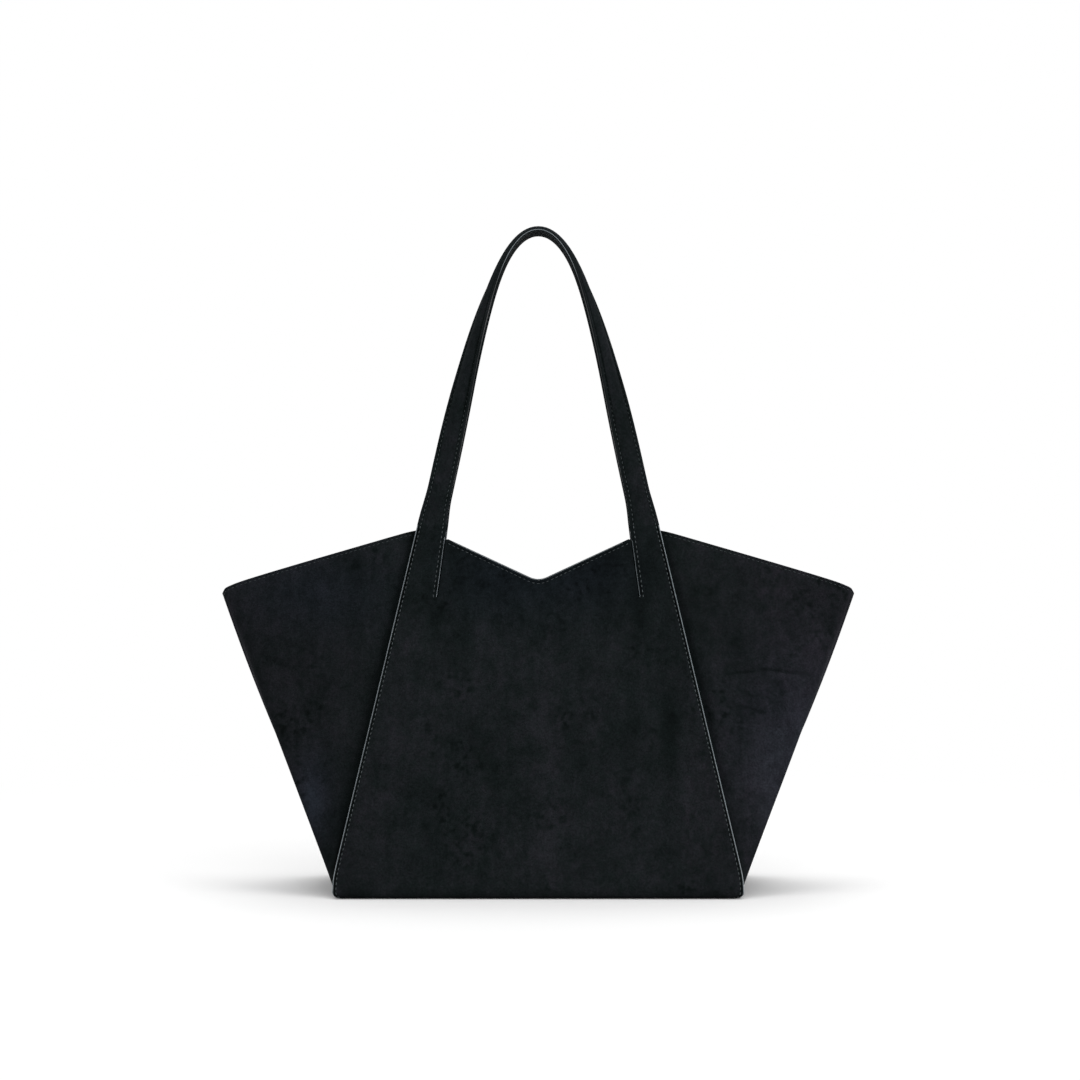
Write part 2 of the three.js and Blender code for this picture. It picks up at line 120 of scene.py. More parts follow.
def rounded_v(x):
    """Height of the V with its point rounded."""
    share = np.minimum(np.abs(x) / round_x, 1)
    near_point = notch_point + (rim_of_v(round_x) - notch_point) * (0.5 + 0.5 * share ** 2)
    return np.where(share < 1, near_point, rim_of_v(x))


def up_wall(z):
    """Length along the wall's outer face, from the end of the lap, to the height z on its slope."""
    return roll_end + (z - roll_top) / math.cos(lean)


def height_at(s):
    """The height that a length up the wall reaches on its slope."""
    return roll_top + (s - roll_end) * math.cos(lean)


def ridge(value, at, width):
    """1 at one value, fading to both sides of it."""
    return np.exp(-((value - at) / width) ** 2)


def spot(x, z, at_x, at_z, wide, high):
    """A soft round patch: 1 in its middle, fading outwards."""
    return np.exp(-((x - at_x) / wide) ** 2 - ((z - at_z) / high) ** 2)


def slack(x, z, dents):
    """How far the soft wall stands out from its slope: a low belly, and dents that handling has left."""
    across = np.clip(1 - (x / side_edge(z)) ** 2, 0, 1)
    out = belly * np.sin(math.pi * np.clip((z - upright) / belly_height, 0, 1)) ** 2 * across
    for *patch, depth in dents:
        out = out + depth * spot(x, z, *patch) * np.sqrt(across)
    return out


def wall(flat, depth, dents):
    """Points on or in the front wall, for places (x, length up the wall) on the flat pattern."""
    x, s = flat[..., 0], flat[..., 1]
    angle = 1.5 * math.pi - np.clip((s - lap_flat) / roll, 0, math.pi / 2 + lean)
    rise = np.maximum(s - roll_end, 0)
    y = lap_end - np.minimum(s, lap_flat) + roll * np.cos(angle) + rise * math.sin(lean)
    z = roll + roll * np.sin(angle) + rise * math.cos(lean)
    out = slack(x, z, dents) - depth
    return np.stack([x, y + np.cos(angle) * out, z + np.sin(angle) * out], -1)


def stations(corners, step):
    """A closed outline with points no further apart than step."""
    corners = np.array(corners, float)
    ends = np.roll(corners, -1, 0)
    counts = np.maximum(1, np.ceil(np.linalg.norm(ends - corners, axis=1) / step)).astype(int)
    sides = zip(corners, ends, counts)
    return np.concatenate([a + (b - a) * np.arange(n)[:, None] / n for a, b, n in sides])


def unit(vectors):
    """The same directions with length 1."""
    return vectors / np.linalg.norm(vectors, axis=-1, keepdims=True)


def inwards(outline):
    """For each point of an anticlockwise outline, the move that brings its edges in by 1."""
    run = unit(np.roll(outline, -1, 0) - outline)
    left = np.stack([-run[:, 1], run[:, 0]], 1)
    both = left + np.roll(left, 1, 0)
    return both / np.maximum((left * np.roll(left, 1, 0)).sum(1) + 1, 0.5)[:, None]


def distance_in(points, outline):
    """Distance from each point to the outline, negative outside it."""
    ends = np.roll(outline, -1, 0)
    run = ends - outline
    share = ((points[:, None] - outline) * run).sum(2) / (run ** 2).sum(1)
    nearest = outline + np.clip(share, 0, 1)[..., None] * run
    distance = np.linalg.norm(points[:, None] - nearest, axis=2).min(1)
    spans = (outline[:, 1] > points[:, None, 1]) != (ends[:, 1] > points[:, None, 1])
    level = np.where(spans, run[:, 1], 1)
    at = outline[:, 0] + (points[:, None, 1] - outline[:, 1]) / level * run[:, 0]
    inside = (spans & (points[:, None, 0] < at)).sum(1) % 2 == 1
    return np.where(inside, distance, -distance)


def cut(outline, inset, border, pitch):
    """A flat piece cut to an outline: its points, its triangles, and which points are its border."""
    rings = [outline + inset * d for d in border]
    keep = [ring[distance_in(ring, outline) > 0.9 * d] for ring, d in zip(rings[1:], border[1:])]
    low, high = outline.min(0), outline.max(0)
    columns = np.arange(low[0], high[0], pitch)
    rows = np.arange(low[1], high[1], pitch * 0.87)
    fill_in = np.array([(x + pitch / 2 * (k % 2), y) for k, y in enumerate(rows) for x in columns])
    fill_in = fill_in[distance_in(fill_in, outline) > border[-1] + pitch / 2]
    points = np.concatenate([rings[0], *keep, fill_in])
    loop = list(range(len(outline)))
    found = geometry.delaunay_2d_cdt([Vector(p) for p in points], [], [loop], 1, 1e-5)
    new_place = {old: new for new, olds in enumerate(found[3]) for old in olds}
    return np.array([tuple(p) for p in found[0]]), found[2], [new_place[k] for k in loop]


# The profile of a cut edge, from the face that shows to the hidden one: share of the rounding, share of the
# thickness, and whether the paint covers what follows. The paint stops just short of both faces.
arc = np.linspace(0, math.pi, 9)
rounded = np.stack([1 - np.sin(arc), (1 - np.cos(arc)) / 2, (arc > 0.3) & (arc < 2.5)], 1)


def make(name, points, faces, material, painted=(), paint=None, wear_and_shade=None):
    """A mesh object with its painted faces in the paint, and marks of wear, painted shade and painted light
    as a value for each point.
    """
    mesh = bpy.data.meshes.new(name)
    mesh.from_pydata((np.asarray(points) / 1000).tolist(), [], [list(f) for f in [*faces, *painted]])
    mesh.materials.append(material)
    if paint:
        mesh.materials.append(paint)
        mesh.polygons.foreach_set("material_index", [0] * len(faces) + [1] * len(painted))
    mesh.shade_smooth()
    mesh.set_sharp_from_angle(angle=math.radians(50))
    for mark, values in (wear_and_shade or {}).items():
        mesh.attributes.new(mark, "FLOAT", "POINT").data.foreach_set("value", values)
    piece = bpy.data.objects.new(name, mesh)
    bpy.context.scene.collection.objects.link(piece)
    return piece


def sheet(name, faces, rim, points, edge, profile, material, paint, marks, bare=None):
    """A closed sheet: a face, the same mesh below it, and rings of points round the edge, painted or bare."""
    count = len(points[0])
    bare = [False] * len(rim) if bare is None else bare
    around = [2 * count + len(rim) * k + np.arange(len(rim)) for k in range(len(edge))]
    rings = np.stack([rim, *around, rim + count])
    onward = np.roll(rings, -1, 1)
    quads = np.stack([rings[:-1], rings[1:], onward[1:], onward[:-1]], -1).tolist()
    plain = [*faces, *[[count + k for k in reversed(face)] for face in faces]]
    painted = []
    for band, coated in zip(quads, profile[:, 2]):
        for quad, uncoated in zip(band, bare):
            face = list(dict.fromkeys(quad))
            if len(face) > 2:
                (painted if paint and coated and not uncoated else plain).append(face)
    wear_and_shade = {}
    for mark, (*on_faces, on_edge) in marks.items():
        wear_and_shade[mark] = np.concatenate([*on_faces, np.tile(on_edge, len(edge))])
    return make(name, np.concatenate([*points, *edge]), plain, material, painted, paint, wear_and_shade)


def cut_piece(
    name, outline, place, material, thickness, rounding, pitch,
    inset=None, paint=None, groove=None, bare=None, wear_and_shade=None,
):
    """A sheet cut to an outline and laid by place, with rounded edges and a groove for the stitches."""
    inset = inwards(outline) if inset is None else inset
    border = (rounding, *groove_rings) if groove else (rounding, rounding + 2)
    flat, triangles, rim = cut(outline, inset, border, pitch)
    from_edge = distance_in(flat, outline)
    sunk = groove(flat) * ridge(from_edge, stitch_inset, groove_width) if groove else 0 * from_edge
    points = [place(flat, sunk), place(flat, thickness)]
    edge = [place(outline + inset * rounding * back, d * thickness) for back, d, _ in rounded[1:-1]]
    marks = {mark: [at(flat), at(flat), at(outline)] for mark, at in (wear_and_shade or {}).items()}
    if wear_and_shade:
        # A line of painted shade in the groove between the stitches and the edge.
        marks["nap_and_painted_shade"][0] += 3.0 * groove(flat) * ridge(from_edge, groove_shade_line, groove_shade_width)
    return sheet(name, triangles, np.array(rim), points, edge, rounded, material, paint, marks, bare)


def linear(code):
    """A colour as it is written on the screen, turned to the linear values that a shader takes."""
    parts = [int(code[k : k + 2], 16) / 255 for k in (1, 3, 5)]
    return (*[c / 12.92 if c <= 0.04045 else ((c + 0.055) / 1.055) ** 2.4 for c in parts], 1)


def fill(item, sockets):
    """Gives the sockets of a node their values, or links them to the outputs of other nodes."""
    for key, value in sockets.items():
        if isinstance(value, bpy.types.NodeSocket):
            item.id_data.links.new(value, item.inputs[key])
        else:
            item.inputs[key].default_value = value


def add(tree, kind, sockets=None, give=0, ramp=(), **settings):
    """Adds a node, of the shader kind if no other is named, and gives one of its outputs."""
    item = tree.nodes.new(kind if "Node" in kind else f"ShaderNode{kind}")
    for key, value in settings.items():
        setattr(item, key, value)
    for k, (position, colour) in enumerate(ramp):
        item.color_ramp.elements[k].position = position
        item.color_ramp.elements[k].color = linear(colour)
    fill(item, sockets or {})
    return item.outputs[give]


def new_material(name):
    """A material, with its nodes and its shader."""
    material = bpy.data.materials.new(name)
    material.use_nodes = True
    return material, material.node_tree, material.node_tree.nodes["Principled BSDF"]


# Black suede: calf split with its nap raised by sanding. It scatters light with next to no gloss, keeps
# darker and lighter clouds and small dark scuffs where the nap was brushed over, and shows tufts of short
# fibres. Fibres are about 0.1 mm wide. They are drawn 1.5 mm wide here so that they show.
suede, tree, shader = new_material("black_suede")
on_hide = add(tree, "TexCoord", give="Object")
down_hide = add(tree, "Mapping", {0: on_hide, "Scale": (1, 1, 0.2)})
tufts, strokes, scuffs, patches, fibres, dye = (
    add(tree, "TexNoise", {"Vector": at, "Scale": 1000 / size, "Detail": fine, "Roughness": rough})
    for at, size, fine, rough in (
        (on_hide, 30, 5.0, 0.95),
        (down_hide, 22, 3.0, 0.75),
        (on_hide, 6, 4.0, 0.72),
        (on_hide, 42, 2.0, 0.5),
        (on_hide, 1.5, 2.0, 0.6),
        (on_hide, 20, 5.0, 1.0),
    )
)
# Sockets 1 to 4 of a Map Range are the range that comes in and the range that it gives.
in_patch = add(tree, "MapRange", {"Value": patches, 1: 0.52, 2: 0.66, 3: 0.07, 4: 0.6})
handled = add(tree, "Attribute", give="Fac", attribute_name="scuffed")
in_patch = add(tree, "Math", {0: in_patch, 1: handled}, operation="ADD")
in_patch = add(tree, "Math", {0: in_patch, 1: 0.6}, operation="MINIMUM")
scuff = add(tree, "MapRange", {"Value": scuffs, 1: 0.5, 2: 0.64})
scuff = add(tree, "Math", {0: scuff, 1: in_patch}, operation="MULTIPLY")
# This mark darkens the tone with painted shade in folds, creases, stitch grooves, dents and along the rim,
# and lightens it below 0 with painted light on the gussets' sides and lit patches; part of it is real pressed
# nap.
nap_and_shade = add(tree, "Attribute", give="Fac", attribute_name="nap_and_painted_shade")
tone = add(tree, "MapRange", {"Value": tufts, 1: 0.3, 2: 0.7, 3: 0.6, 4: 1.43})
stroke = add(tree, "MapRange", {"Value": strokes, 1: 0.25, 2: 0.75, 3: 0.74, 4: 1.26})
tone = add(tree, "Math", {0: tone, 1: stroke}, operation="MULTIPLY")
for darker in (scuff, nap_and_shade):
    left_over = add(tree, "Math", {0: 1.0, 1: darker}, operation="SUBTRACT")
    tone = add(tree, "Math", {0: tone, 1: left_over}, operation="MULTIPLY")
# The dye leaves darker nap a green black and raised nap a plum black, more so towards the wings; the painted
# shade and light in the tone move the hue the same way.
off_middle = add(tree, "SeparateXYZ", {0: on_hide}, "X")
off_middle = add(tree, "Math", {0: off_middle}, operation="ABSOLUTE")
flank = add(tree, "MapRange", {"Value": off_middle, 1: 0.09, 2: 0.2, 3: -0.56, 4: -0.34})
raised = add(tree, "MapRange", {"Value": tone, 1: 0.4, 2: 1.4, 3: 0.0, 4: 0.6})
hue = dye
for part in (flank, raised):
    hue = add(tree, "Math", {0: hue, 1: part}, operation="ADD")
hue = add(tree, "ValToRGB", {"Fac": hue}, ramp=((0.1, "#151b1b"), (0.9, "#1c1a1f")))
blue = add(tree, "Attribute", give="Fac", attribute_name="blue_of_dye")
hue = add(tree, "Mix", {0: blue, 6: hue, 7: linear("#161b21")}, 2, data_type="RGBA")
fibre = add(tree, "MapRange", {"Value": fibres, 1: 0.25, 2: 0.75, 3: 0.7, 4: 1.46})
tone = add(tree, "Math", {0: tone, 1: fibre}, operation="MULTIPLY")
fill(shader, {
    "Base Color": add(tree, "VectorMath", {0: hue, "Scale": tone}, operation="SCALE"),
    "Normal": add(tree, "Bump", {"Height": fibres, "Strength": 0.35, "Distance": 0.0006}),
    "Roughness": 0.95,
    "Specular IOR Level": 0.03,
    "Sheen Weight": 0.025,
    "Sheen Roughness": 0.55,
    "Sheen Tint": linear("#8f979c"),
})


def mottled(tree, size, detail, ramp):
    """Noise of a real size in millimetres all over a piece, and the colours that a ramp makes of it."""
    on_piece = add(tree, "TexCoord", give="Object")
    noise = add(tree, "TexNoise", {"Vector": on_piece, "Scale": 1000 / size, "Detail": detail})
    return noise, add(tree, "ValToRGB", {"Fac": noise}, ramp=ramp)


# Edge paint: acrylic, laid on in two coats over the sanded edge. It dries to a smooth near-black bead with a
# soft gloss; its light charcoal colour here is a painted highlight of that gloss, and where a mark says so,
# near the strap roots, it keeps its own near-black.
edge_paint_and_highlight, tree, shader = new_material("edge_paint_with_painted_highlight")
coat, highlight_grey = mottled(tree, 4, 3.0, ((0.3, "#5f676b"), (0.7, "#7a8388")))
highlight_off_mask = add(tree, "Attribute", give="Fac", attribute_name="paint_highlight_off")
highlight_mix = {0: highlight_off_mask, 6: highlight_grey, 7: linear("#15191a")}
fill(shader, {
    "Base Color": add(tree, "Mix", highlight_mix, 2, data_type="RGBA"),
    "Roughness": add(tree, "MapRange", {"Value": coat, 3: 0.28, 4: 0.42}),
})

# The outline of a panel on the flat hide, anticlockwise from the middle of the lap's end.
roll_turn = np.linspace(0, math.pi / 2 + lean, 14)
roll_z = roll * (1 - np.cos(roll_turn))
roll_x = side_edge(roll_z) - corner * (1 - np.sqrt(np.minimum(roll_z / corner, 1))) ** 2
bend_z = np.linspace(roll_top + 1, bend_top, 9)
round_x = notch_round * math.cos(math.atan2(notch_rise, slit_top))
v_x = round_x * (1 - np.linspace(0, 1, 7))
tongue_x = strap_inner(notch_point + notch_rise) - slit_gap
on_slope = [
    *zip(side_edge(bend_z), bend_z),
    (side_edge(fold_height), fold_height),
    (strap_inner(fold_height), fold_height),
    (strap_inner(slit_foot), slit_foot),
    (strap_inner(slit_foot) - slit_gap, slit_foot),
    (tongue_x, rim_of_v(tongue_x)),
    *zip(v_x, rounded_v(v_x)),
]
right_half = [(0, 0), (base_half - corner, 0), *zip(roll_x, lap_flat + roll * roll_turn)]
right_half += [(x, up_wall(z)) for x, z in on_slope]
panel_outline = stations(right_half + [(-x, s) for x, s in right_half[-2:0:-1]], step=2.6)
panel_inset = inwards(panel_outline)

# Where a strap runs on, the end of its root isn't rounded.
near = 0.01
at_fold = panel_outline[:, 1] > up_wall(fold_height) - near
panel_inset[at_fold] = (0, -0.004)
for edge, inner_way in ((side_edge(fold_height), -1), (strap_inner(fold_height), 1)):
    at_end = at_fold & (np.abs(np.abs(panel_outline[:, 0]) - edge) < near)
    panel_inset[at_end, 0] = inner_way * np.sign(panel_outline[at_end, 0])

# The V and the tongue's side of each slit are turned in, so no paint shows there. A slit is hardly rounded.
outline_z = height_at(panel_outline[:, 1])
beyond_strap = strap_inner(outline_z) - np.abs(panel_outline[:, 0])
past_slit = outline_z > slit_foot - near
turned_in = past_slit & (beyond_strap > near)
turned_in |= (outline_z > notch_point + notch_rise) & (beyond_strap > -near)
on_slit = past_slit & (np.abs(beyond_strap) < slit_gap + near)
edge_round = np.where(on_slit, np.where(beyond_strap > near, 0.4, 0.65), 1.15)[:, None]

# Dents as (x, z, width, height, depth): the front has a long one beside its right edge and a shallow one low
# on the left.
dents = {
    "front": [
        (107, 160, 8, 38, -1.5),
        (86, 165, 13, 46, 0.6),
        (-62, 96, 30, 24, -0.9),
        (20, 150, 40, 60, 0.7),
    ],
    "back": [(-70, 170, 24, 46, -1.1), (52, 84, 34, 28, -0.9), (10, 140, 46, 50, 0.6)],
}
# Marks as (x, z, width, height, amount): for the nap, painted shade over dents and painted light where the
# amount is below 0, mixed with real patches of pressed nap; where it is scuffed; and where the dye took
# bluer.
panel_nap_and_shade = {
    "front": [
        (103, 122, 7, 46, 0.5),
        (80, 226, 7, 26, 0.4),
        (120, 70, 18, 30, -0.25),
        (2, 128, 20, 46, -0.16),
        (-40, 108, 18, 22, 0.2),
        (-62, 42, 34, 15, 0.12),
        (0, 44, 130, 34, -0.14),
        (-100, 140, 22, 50, -0.16),
        (-46, 220, 6, 24, -0.16),
    ],
    "back": [
        (-74, 150, 9, 40, 0.35),
        (40, 96, 26, 22, 0.2),
        (90, 60, 20, 30, -0.2),
        (-10, 140, 24, 50, -0.14),
    ],
}
panel_scuffs = {
    "front": [
        (-83, 127, 15, 12, 0.45),
        (-49, 104, 19, 14, 0.5),
        (-44, 50, 18, 12, 0.4),
        (-103, 66, 15, 8, 0.35),
    ],
    "back": [(62, 130, 18, 14, 0.5), (-30, 70, 20, 12, 0.4), (100, 60, 14, 10, 0.35)],
}
panel_blue = {
    "front": [(-30, 250, 45, 34, 0.6), (40, 250, 40, 30, 0.5)],
    "back": [(20, 250, 50, 30, 0.7)],
}
rim_shade = 0.24  # how strong the painted shade is all along the rim
rim_shade_heights = (185, 240, 270, 300)  # where that starts, is full, falls off and ends


def on_panel(marks, along_rim=0.0):
    """How strong a mark is over a panel: soft patches, and an even part along the rim that carries painted
    shade.
    """

    def strength(flat):
        x, z = flat[:, 0], height_at(flat[:, 1])
        near_rim = np.interp(z, rim_shade_heights, (0, 1, 1, 0))
        return along_rim * near_rim + sum(amount * spot(x, z, *patch) for *patch, amount in marks)

    return strength


def sewn_groove(flat):
    """Depth of the groove that the stitches make in a panel. The tongue's side of a slit has none."""
    x, z = np.abs(flat[:, 0]), height_at(flat[:, 1])
    inner = strap_inner(z)
    past_end = z > slit_foot - slit_clear
    on_tongue = past_end & (z < rim_of_v(x) - rim_clear) & (x > inner - tongue_clear)
    on_tongue &= x < inner + np.where(z < slit_foot, strap_clear, 0)
    beside_slit = past_end & (x < (inner + side_edge(z)) / 2)
    return np.where(beside_slit, slit_groove, stitch_groove) * ~on_tongue


def turned(points, side):
    """Points made for the front or the right, or the same points on the back or the left of the bag."""
    return points * ((-1, -1, 1) if side in ("back", "left") else (1, 1, 1))


def against(side, depth=0.0):
    """How a pattern is laid on the front or back wall, at one depth or at one that follows the pattern."""

    def place(flat, inner):
        behind = depth(flat) if callable(depth) else depth
        return turned(wall(flat, behind + inner, dents[side]), side)

    return place


def hand_over(piece, node, body="bag"):
    """Says which body a piece moves with, and hides the solid that it stands for."""
    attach(piece, body)
    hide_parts(node)


for side in ("front", "back"):
    panel = cut_piece(
        f"{side}_panel_suede", panel_outline, against(side), suede, panel_thickness,
        rounding=edge_round,
        pitch=5.0,
        inset=panel_inset,
        paint=edge_paint_and_highlight,
        groove=sewn_groove,
        bare=turned_in,
        wear_and_shade={
            "nap_and_painted_shade": on_panel(panel_nap_and_shade[side], rim_shade),
            "scuffed": on_panel(panel_scuffs[side]),
            "blue_of_dye": on_panel(panel_blue[side]),
        },
    )
    hand_over(panel, f"{side}_panel")

# Stiffening behind each panel: a sheet of felted interlining over its middle, and a strip behind each strap
# root that carries the pull of the handle. Both are glued to the panel and hidden by the lining.
gusset_strip = 10.8  # from a panel's side edge to clear of the gusset that is sewn behind it
interlining_foot = 18.0
interlining_top = 215.0
interlining_thickness = 1.4
anchor_foot = 232.0
anchor_thickness = 1.5
felt_depth = 2.5

# Interlining felt: dark fibres pressed into a sheet, with no direction in them. They are about 0.03 mm thick,
# and their tangle is drawn 1.5 mm wide so that it shows.
felt, tree, shader = new_material("interlining_felt")
tangle, grey = mottled(tree, 1.5, 6.0, ((0, "#2a2a2c"), (1, "#4a4a4d")))
fill(shader, {
    "Base Color": grey,
    "Normal": add(tree, "Bump", {"Height": tangle, "Strength": 0.4, "Distance": 0.0004}),
    "Roughness": 1.0,
    "Specular IOR Level": 0.1,
})


def trapezoid(corners):
    """An outline on the wall from the corners of its right half, given as (x, z) from the foot up."""
    right = [(x, up_wall(z)) for x, z in corners]
    return stations(right + [(-x, s) for x, s in reversed(right)], step=4.0)


interlining_ends = (interlining_foot, interlining_top)
interlining_outline = trapezoid([(side_edge(z) - gusset_strip, z) for z in interlining_ends])
anchor_corners = [
    (strap_inner(anchor_foot), up_wall(anchor_foot)),
    (side_edge(anchor_foot) - gusset_strip, up_wall(anchor_foot)),
    (side_edge(rim_height) - gusset_strip, up_wall(rim_height)),
    (strap_inner(rim_height), up_wall(rim_height)),
]
right_anchor = stations(anchor_corners, step=4.0)
left_anchor = stations([(-x, s) for x, s in reversed(anchor_corners)], step=4.0)
for side in ("front", "back"):
    place = against(side, felt_depth)
    interlining = cut_piece(
        f"{side}_interlining_felt", interlining_outline, place, felt, interlining_thickness,
        rounding=0.5,
        pitch=8.0,
    )
    hand_over(interlining, f"{side}_interlining")
    for number, outline in ((1, left_anchor), (2, right_anchor)):
        name = f"{side}_strap_anchor_felt_{number}"
        anchor = cut_piece(name, outline, place, felt, anchor_thickness, rounding=0.5, pitch=6.0)
        hand_over(anchor, f"{side}_strap_anchor_{number}")

# Linings of the front and back: black cotton twill, cut to the wall inside the gusset seams and sewn under
# the rim facing. The cloth lies smooth on the interlining.
lining_foot = 8.0
lining_bend = 20.0  # above this height the lining reaches over the gusset's seam
seam_clearance = 0.3
facing_foot = 215.0
facing_strip = 8.0  # from the panel's side edge to the facing and the upper lining
lining_depth = 4.4
lining_thickness = 0.9

# Cotton twill: warp and weft in black, woven so that fine ribs climb across the cloth at 45 degrees. The real
# ribs are 0.5 mm apart. They are drawn 1.6 mm apart so that they show.
twill, tree, shader = new_material("cotton_twill")
rib_spacing = 0.0016
on_cloth = add(tree, "TexCoord", give="Object")
slanted = add(tree, "Mapping", {0: on_cloth, "Rotation": (0, math.radians(45), 0)})
rib_waves = {"Vector": slanted, "Scale": 2 * math.pi / 20 / rib_spacing, "Distortion": 0.6, "Detail": 1.0}
ribs = add(tree, "TexWave", rib_waves, "Fac", bands_direction="X")
slubs = add(tree, "TexNoise", {"Vector": on_cloth, "Scale": 1000 / 6, "Detail": 4.0})
yarn = add(tree, "Math", {0: ribs, 1: slubs}, operation="MULTIPLY")
fill(shader, {
    "Base Color": add(tree, "ValToRGB", {"Fac": yarn}, ramp=((0, "#1c1d1f"), (1, "#34363a"))),
    "Normal": add(tree, "Bump", {"Height": ribs, "Strength": 0.5, "Distance": 0.0002}),
    "Roughness": 0.9,
    "Specular IOR Level": 0.15,
})

low_strip = gusset_strip + seam_clearance
lining_outline = trapezoid(
    [
        (side_edge(lining_foot) - low_strip, lining_foot),
        (side_edge(interlining_foot) - low_strip, interlining_foot),
        (side_edge(lining_bend) - facing_strip, lining_bend),
        (side_edge(facing_foot) - facing_strip, facing_foot),
    ]
)
for side in ("front", "back"):
    name, place = f"{side}_lining_twill", against(side, lining_depth)
    lining = cut_piece(name, lining_outline, place, twill, lining_thickness, rounding=0.4, pitch=7.0)
    hand_over(lining, f"{side}_lining")
    under = [f"{side}_interlining_felt"]

# Rim facings: a band of the same suede inside the rim, cut to the same V, glued to the panel along the V and
# painted with it. Lower down it lies over the lining's upper edge and the strap anchors.
facing_thickness = 1.0
glue_gap = 0.05
layers_behind = 2.1  # what the layers between panel and facing measure together
glued_height = (5.0, 16.0)  # distances below the V where the facing leaves the panel and lies on the layers
glued_side = 9.0  # how far from the slits it starts to do so
glued_fade = 8.0
shallow_groove = 0.2
facing_outline = trapezoid(
    [
        (side_edge(facing_foot) - facing_strip, facing_foot + 0.2),
        (side_edge(rim_height) - facing_strip, rim_height - seam_clearance),
        (slit_top, rim_height - seam_clearance),
        (slit_top, rim_of_v(slit_top)),
        (round_x, rim_of_v(round_x)),
        (round_x / 2, rounded_v(round_x / 2)),
    ]
)


def smooth(value, low, high):
    """0 up to low and 1 from high on, with a soft change between them."""
    share = np.clip((value - low) / (high - low), 0, 1)
    return share * share * (3 - 2 * share)


def facing_depth(flat):
    """The facing touches the panel along the V and stands back by the layers between them elsewhere."""
    below = up_wall(rim_of_v(flat[..., 0])) - flat[..., 1]
    beside = np.clip((np.abs(flat[..., 0]) - slit_top + glued_side) / glued_fade, 0, 1)
    share = np.maximum(smooth(below, *glued_height), beside)
    return panel_thickness + glue_gap + layers_behind * share


def good_face(side, way=1):
    """Depths in a facing count from its good face, which looks into the bag. Way -1 lays it face down."""
    place = against(side, facing_depth)
    return lambda flat, inner: place(flat * (way, 1), facing_thickness - inner)


for side in ("front", "back"):
    facing = cut_piece(
        f"{side}_rim_facing_suede", facing_outline, good_face(side, -1), suede, facing_thickness,
        rounding=0.5,
        pitch=5.0,
        paint=edge_paint_and_highlight,
        groove=lambda flat: shallow_groove,
    )
    hand_over(facing, f"{side}_rim_facing")

# Gussets: one piece of thinner suede on each side, sewn behind both panels. It spreads out to a pointed wing
# at the rim and folds in three: a soft fold down the front, one down the back and a crease between them.
# Its rim is turned in.
gusset_thickness = 1.6
gusset_foot = panel_thickness  # it stands on the base panel
seam_width = 9.0
seam_bend = 3.0  # how softly it turns out from the seam
edge_gap = 1.5  # how far that turn is in from the panel's edge
wing_tip = np.array([253.0, 0.0, 233.6])
wing_bow = 3.0  # how far a wing's folded edge bows out between its foot and its tip
rim_bow = 0.95  # how far its rim bows up between the panel and the fold
fold_ends = np.array([[157.0, -67.5, gusset_foot], [249.0, -9.5, 239.5]])
crease_ends = np.array([[159.0, 0.0, gusset_foot], wing_tip])
valley_depth = 4.2  # of the fold beside a panel
valley_width = 2.8
flank_hollow = 2.2  # how far a gusset sinks between the panel and the fold
side_hollow = 1.4  # and between the fold and the crease
rim_rows = (5.5, 3.8, 3.0, 2.2)  # distances below a stitched rim where a grid follows the groove
seam_column = 7  # the column of a gusset's grid where it comes out from behind the panel
fold_column = 50  # and that of its front fold


def behind_panel(z):
    """Where the gusset lies behind the front panel, at each height."""
    reach = roll - felt_depth
    on_roll = base_front + roll - np.sqrt(np.maximum(reach ** 2 - (z - roll) ** 2, 0))
    on_wall_slope = rim_front + (z - rim_height) * math.tan(lean) + felt_depth / math.cos(lean)
    return np.where(z < roll + reach * math.sin(lean), on_roll, on_wall_slope)


def line(a, b, count, crowding=1.0):
    """Points from a towards b, row by row, without the last; they may crowd towards a."""
    return a[:, None] + (b - a)[:, None] * ((np.arange(count) / count) ** crowding)[None, :, None]


def bend(a, over, b, count):
    """Points on a soft bend from a to b over a corner, row by row, without the last."""
    t = (np.arange(count) / count)[None, :, None]
    return a[:, None] * (1 - t) ** 2 + over[:, None] * 2 * t * (1 - t) + b[:, None] * t ** 2


def towards(a, b, distance):
    """The point at a distance from a towards b, or short of the middle if they are near each other."""
    run = b - a
    length = np.linalg.norm(run, axis=1)[:, None]
    return a + run / length * np.minimum(distance, 0.45 * length)


def outwards(grid):
    """Unit normals of a grid of points, with rows going up and columns across."""
    return unit(np.cross(np.gradient(grid, axis=1), np.gradient(grid, axis=0)))


def on_half(grid, half):
    """How far each point of a gusset is on its front half, -1, or its back half, 1, with a soft change."""
    reach = 0.9 * np.abs(grid[:, fold_column, None, 1])
    return np.clip(0.5 + 0.5 * half * grid[..., 1] / reach, 0, 1)


def in_crease(grid, at_x, at_z, slant, wide, high, half):
    """How near each point of a gusset is to a crease on one half: 1 in the crease."""
    straightened = grid[..., 2] - slant * (grid[..., 0] - at_x)
    return spot(grid[..., 0], straightened, at_x, at_z, wide, high) * on_half(grid, half)


def across_gusset(grid):
    """Lengths across a gusset: each point's from the nearer seam, and the fold's and the crease's."""
    along = np.cumsum(np.linalg.norm(np.diff(grid, axis=1, prepend=grid[:, :1]), axis=2), 1)
    seam = along[:, seam_column, None]
    from_seam = np.maximum(np.minimum(along, along[:, -1:] - along) - seam, 0)
    return from_seam, along[:, fold_column, None] - seam, along[:, -1:] / 2 - seam


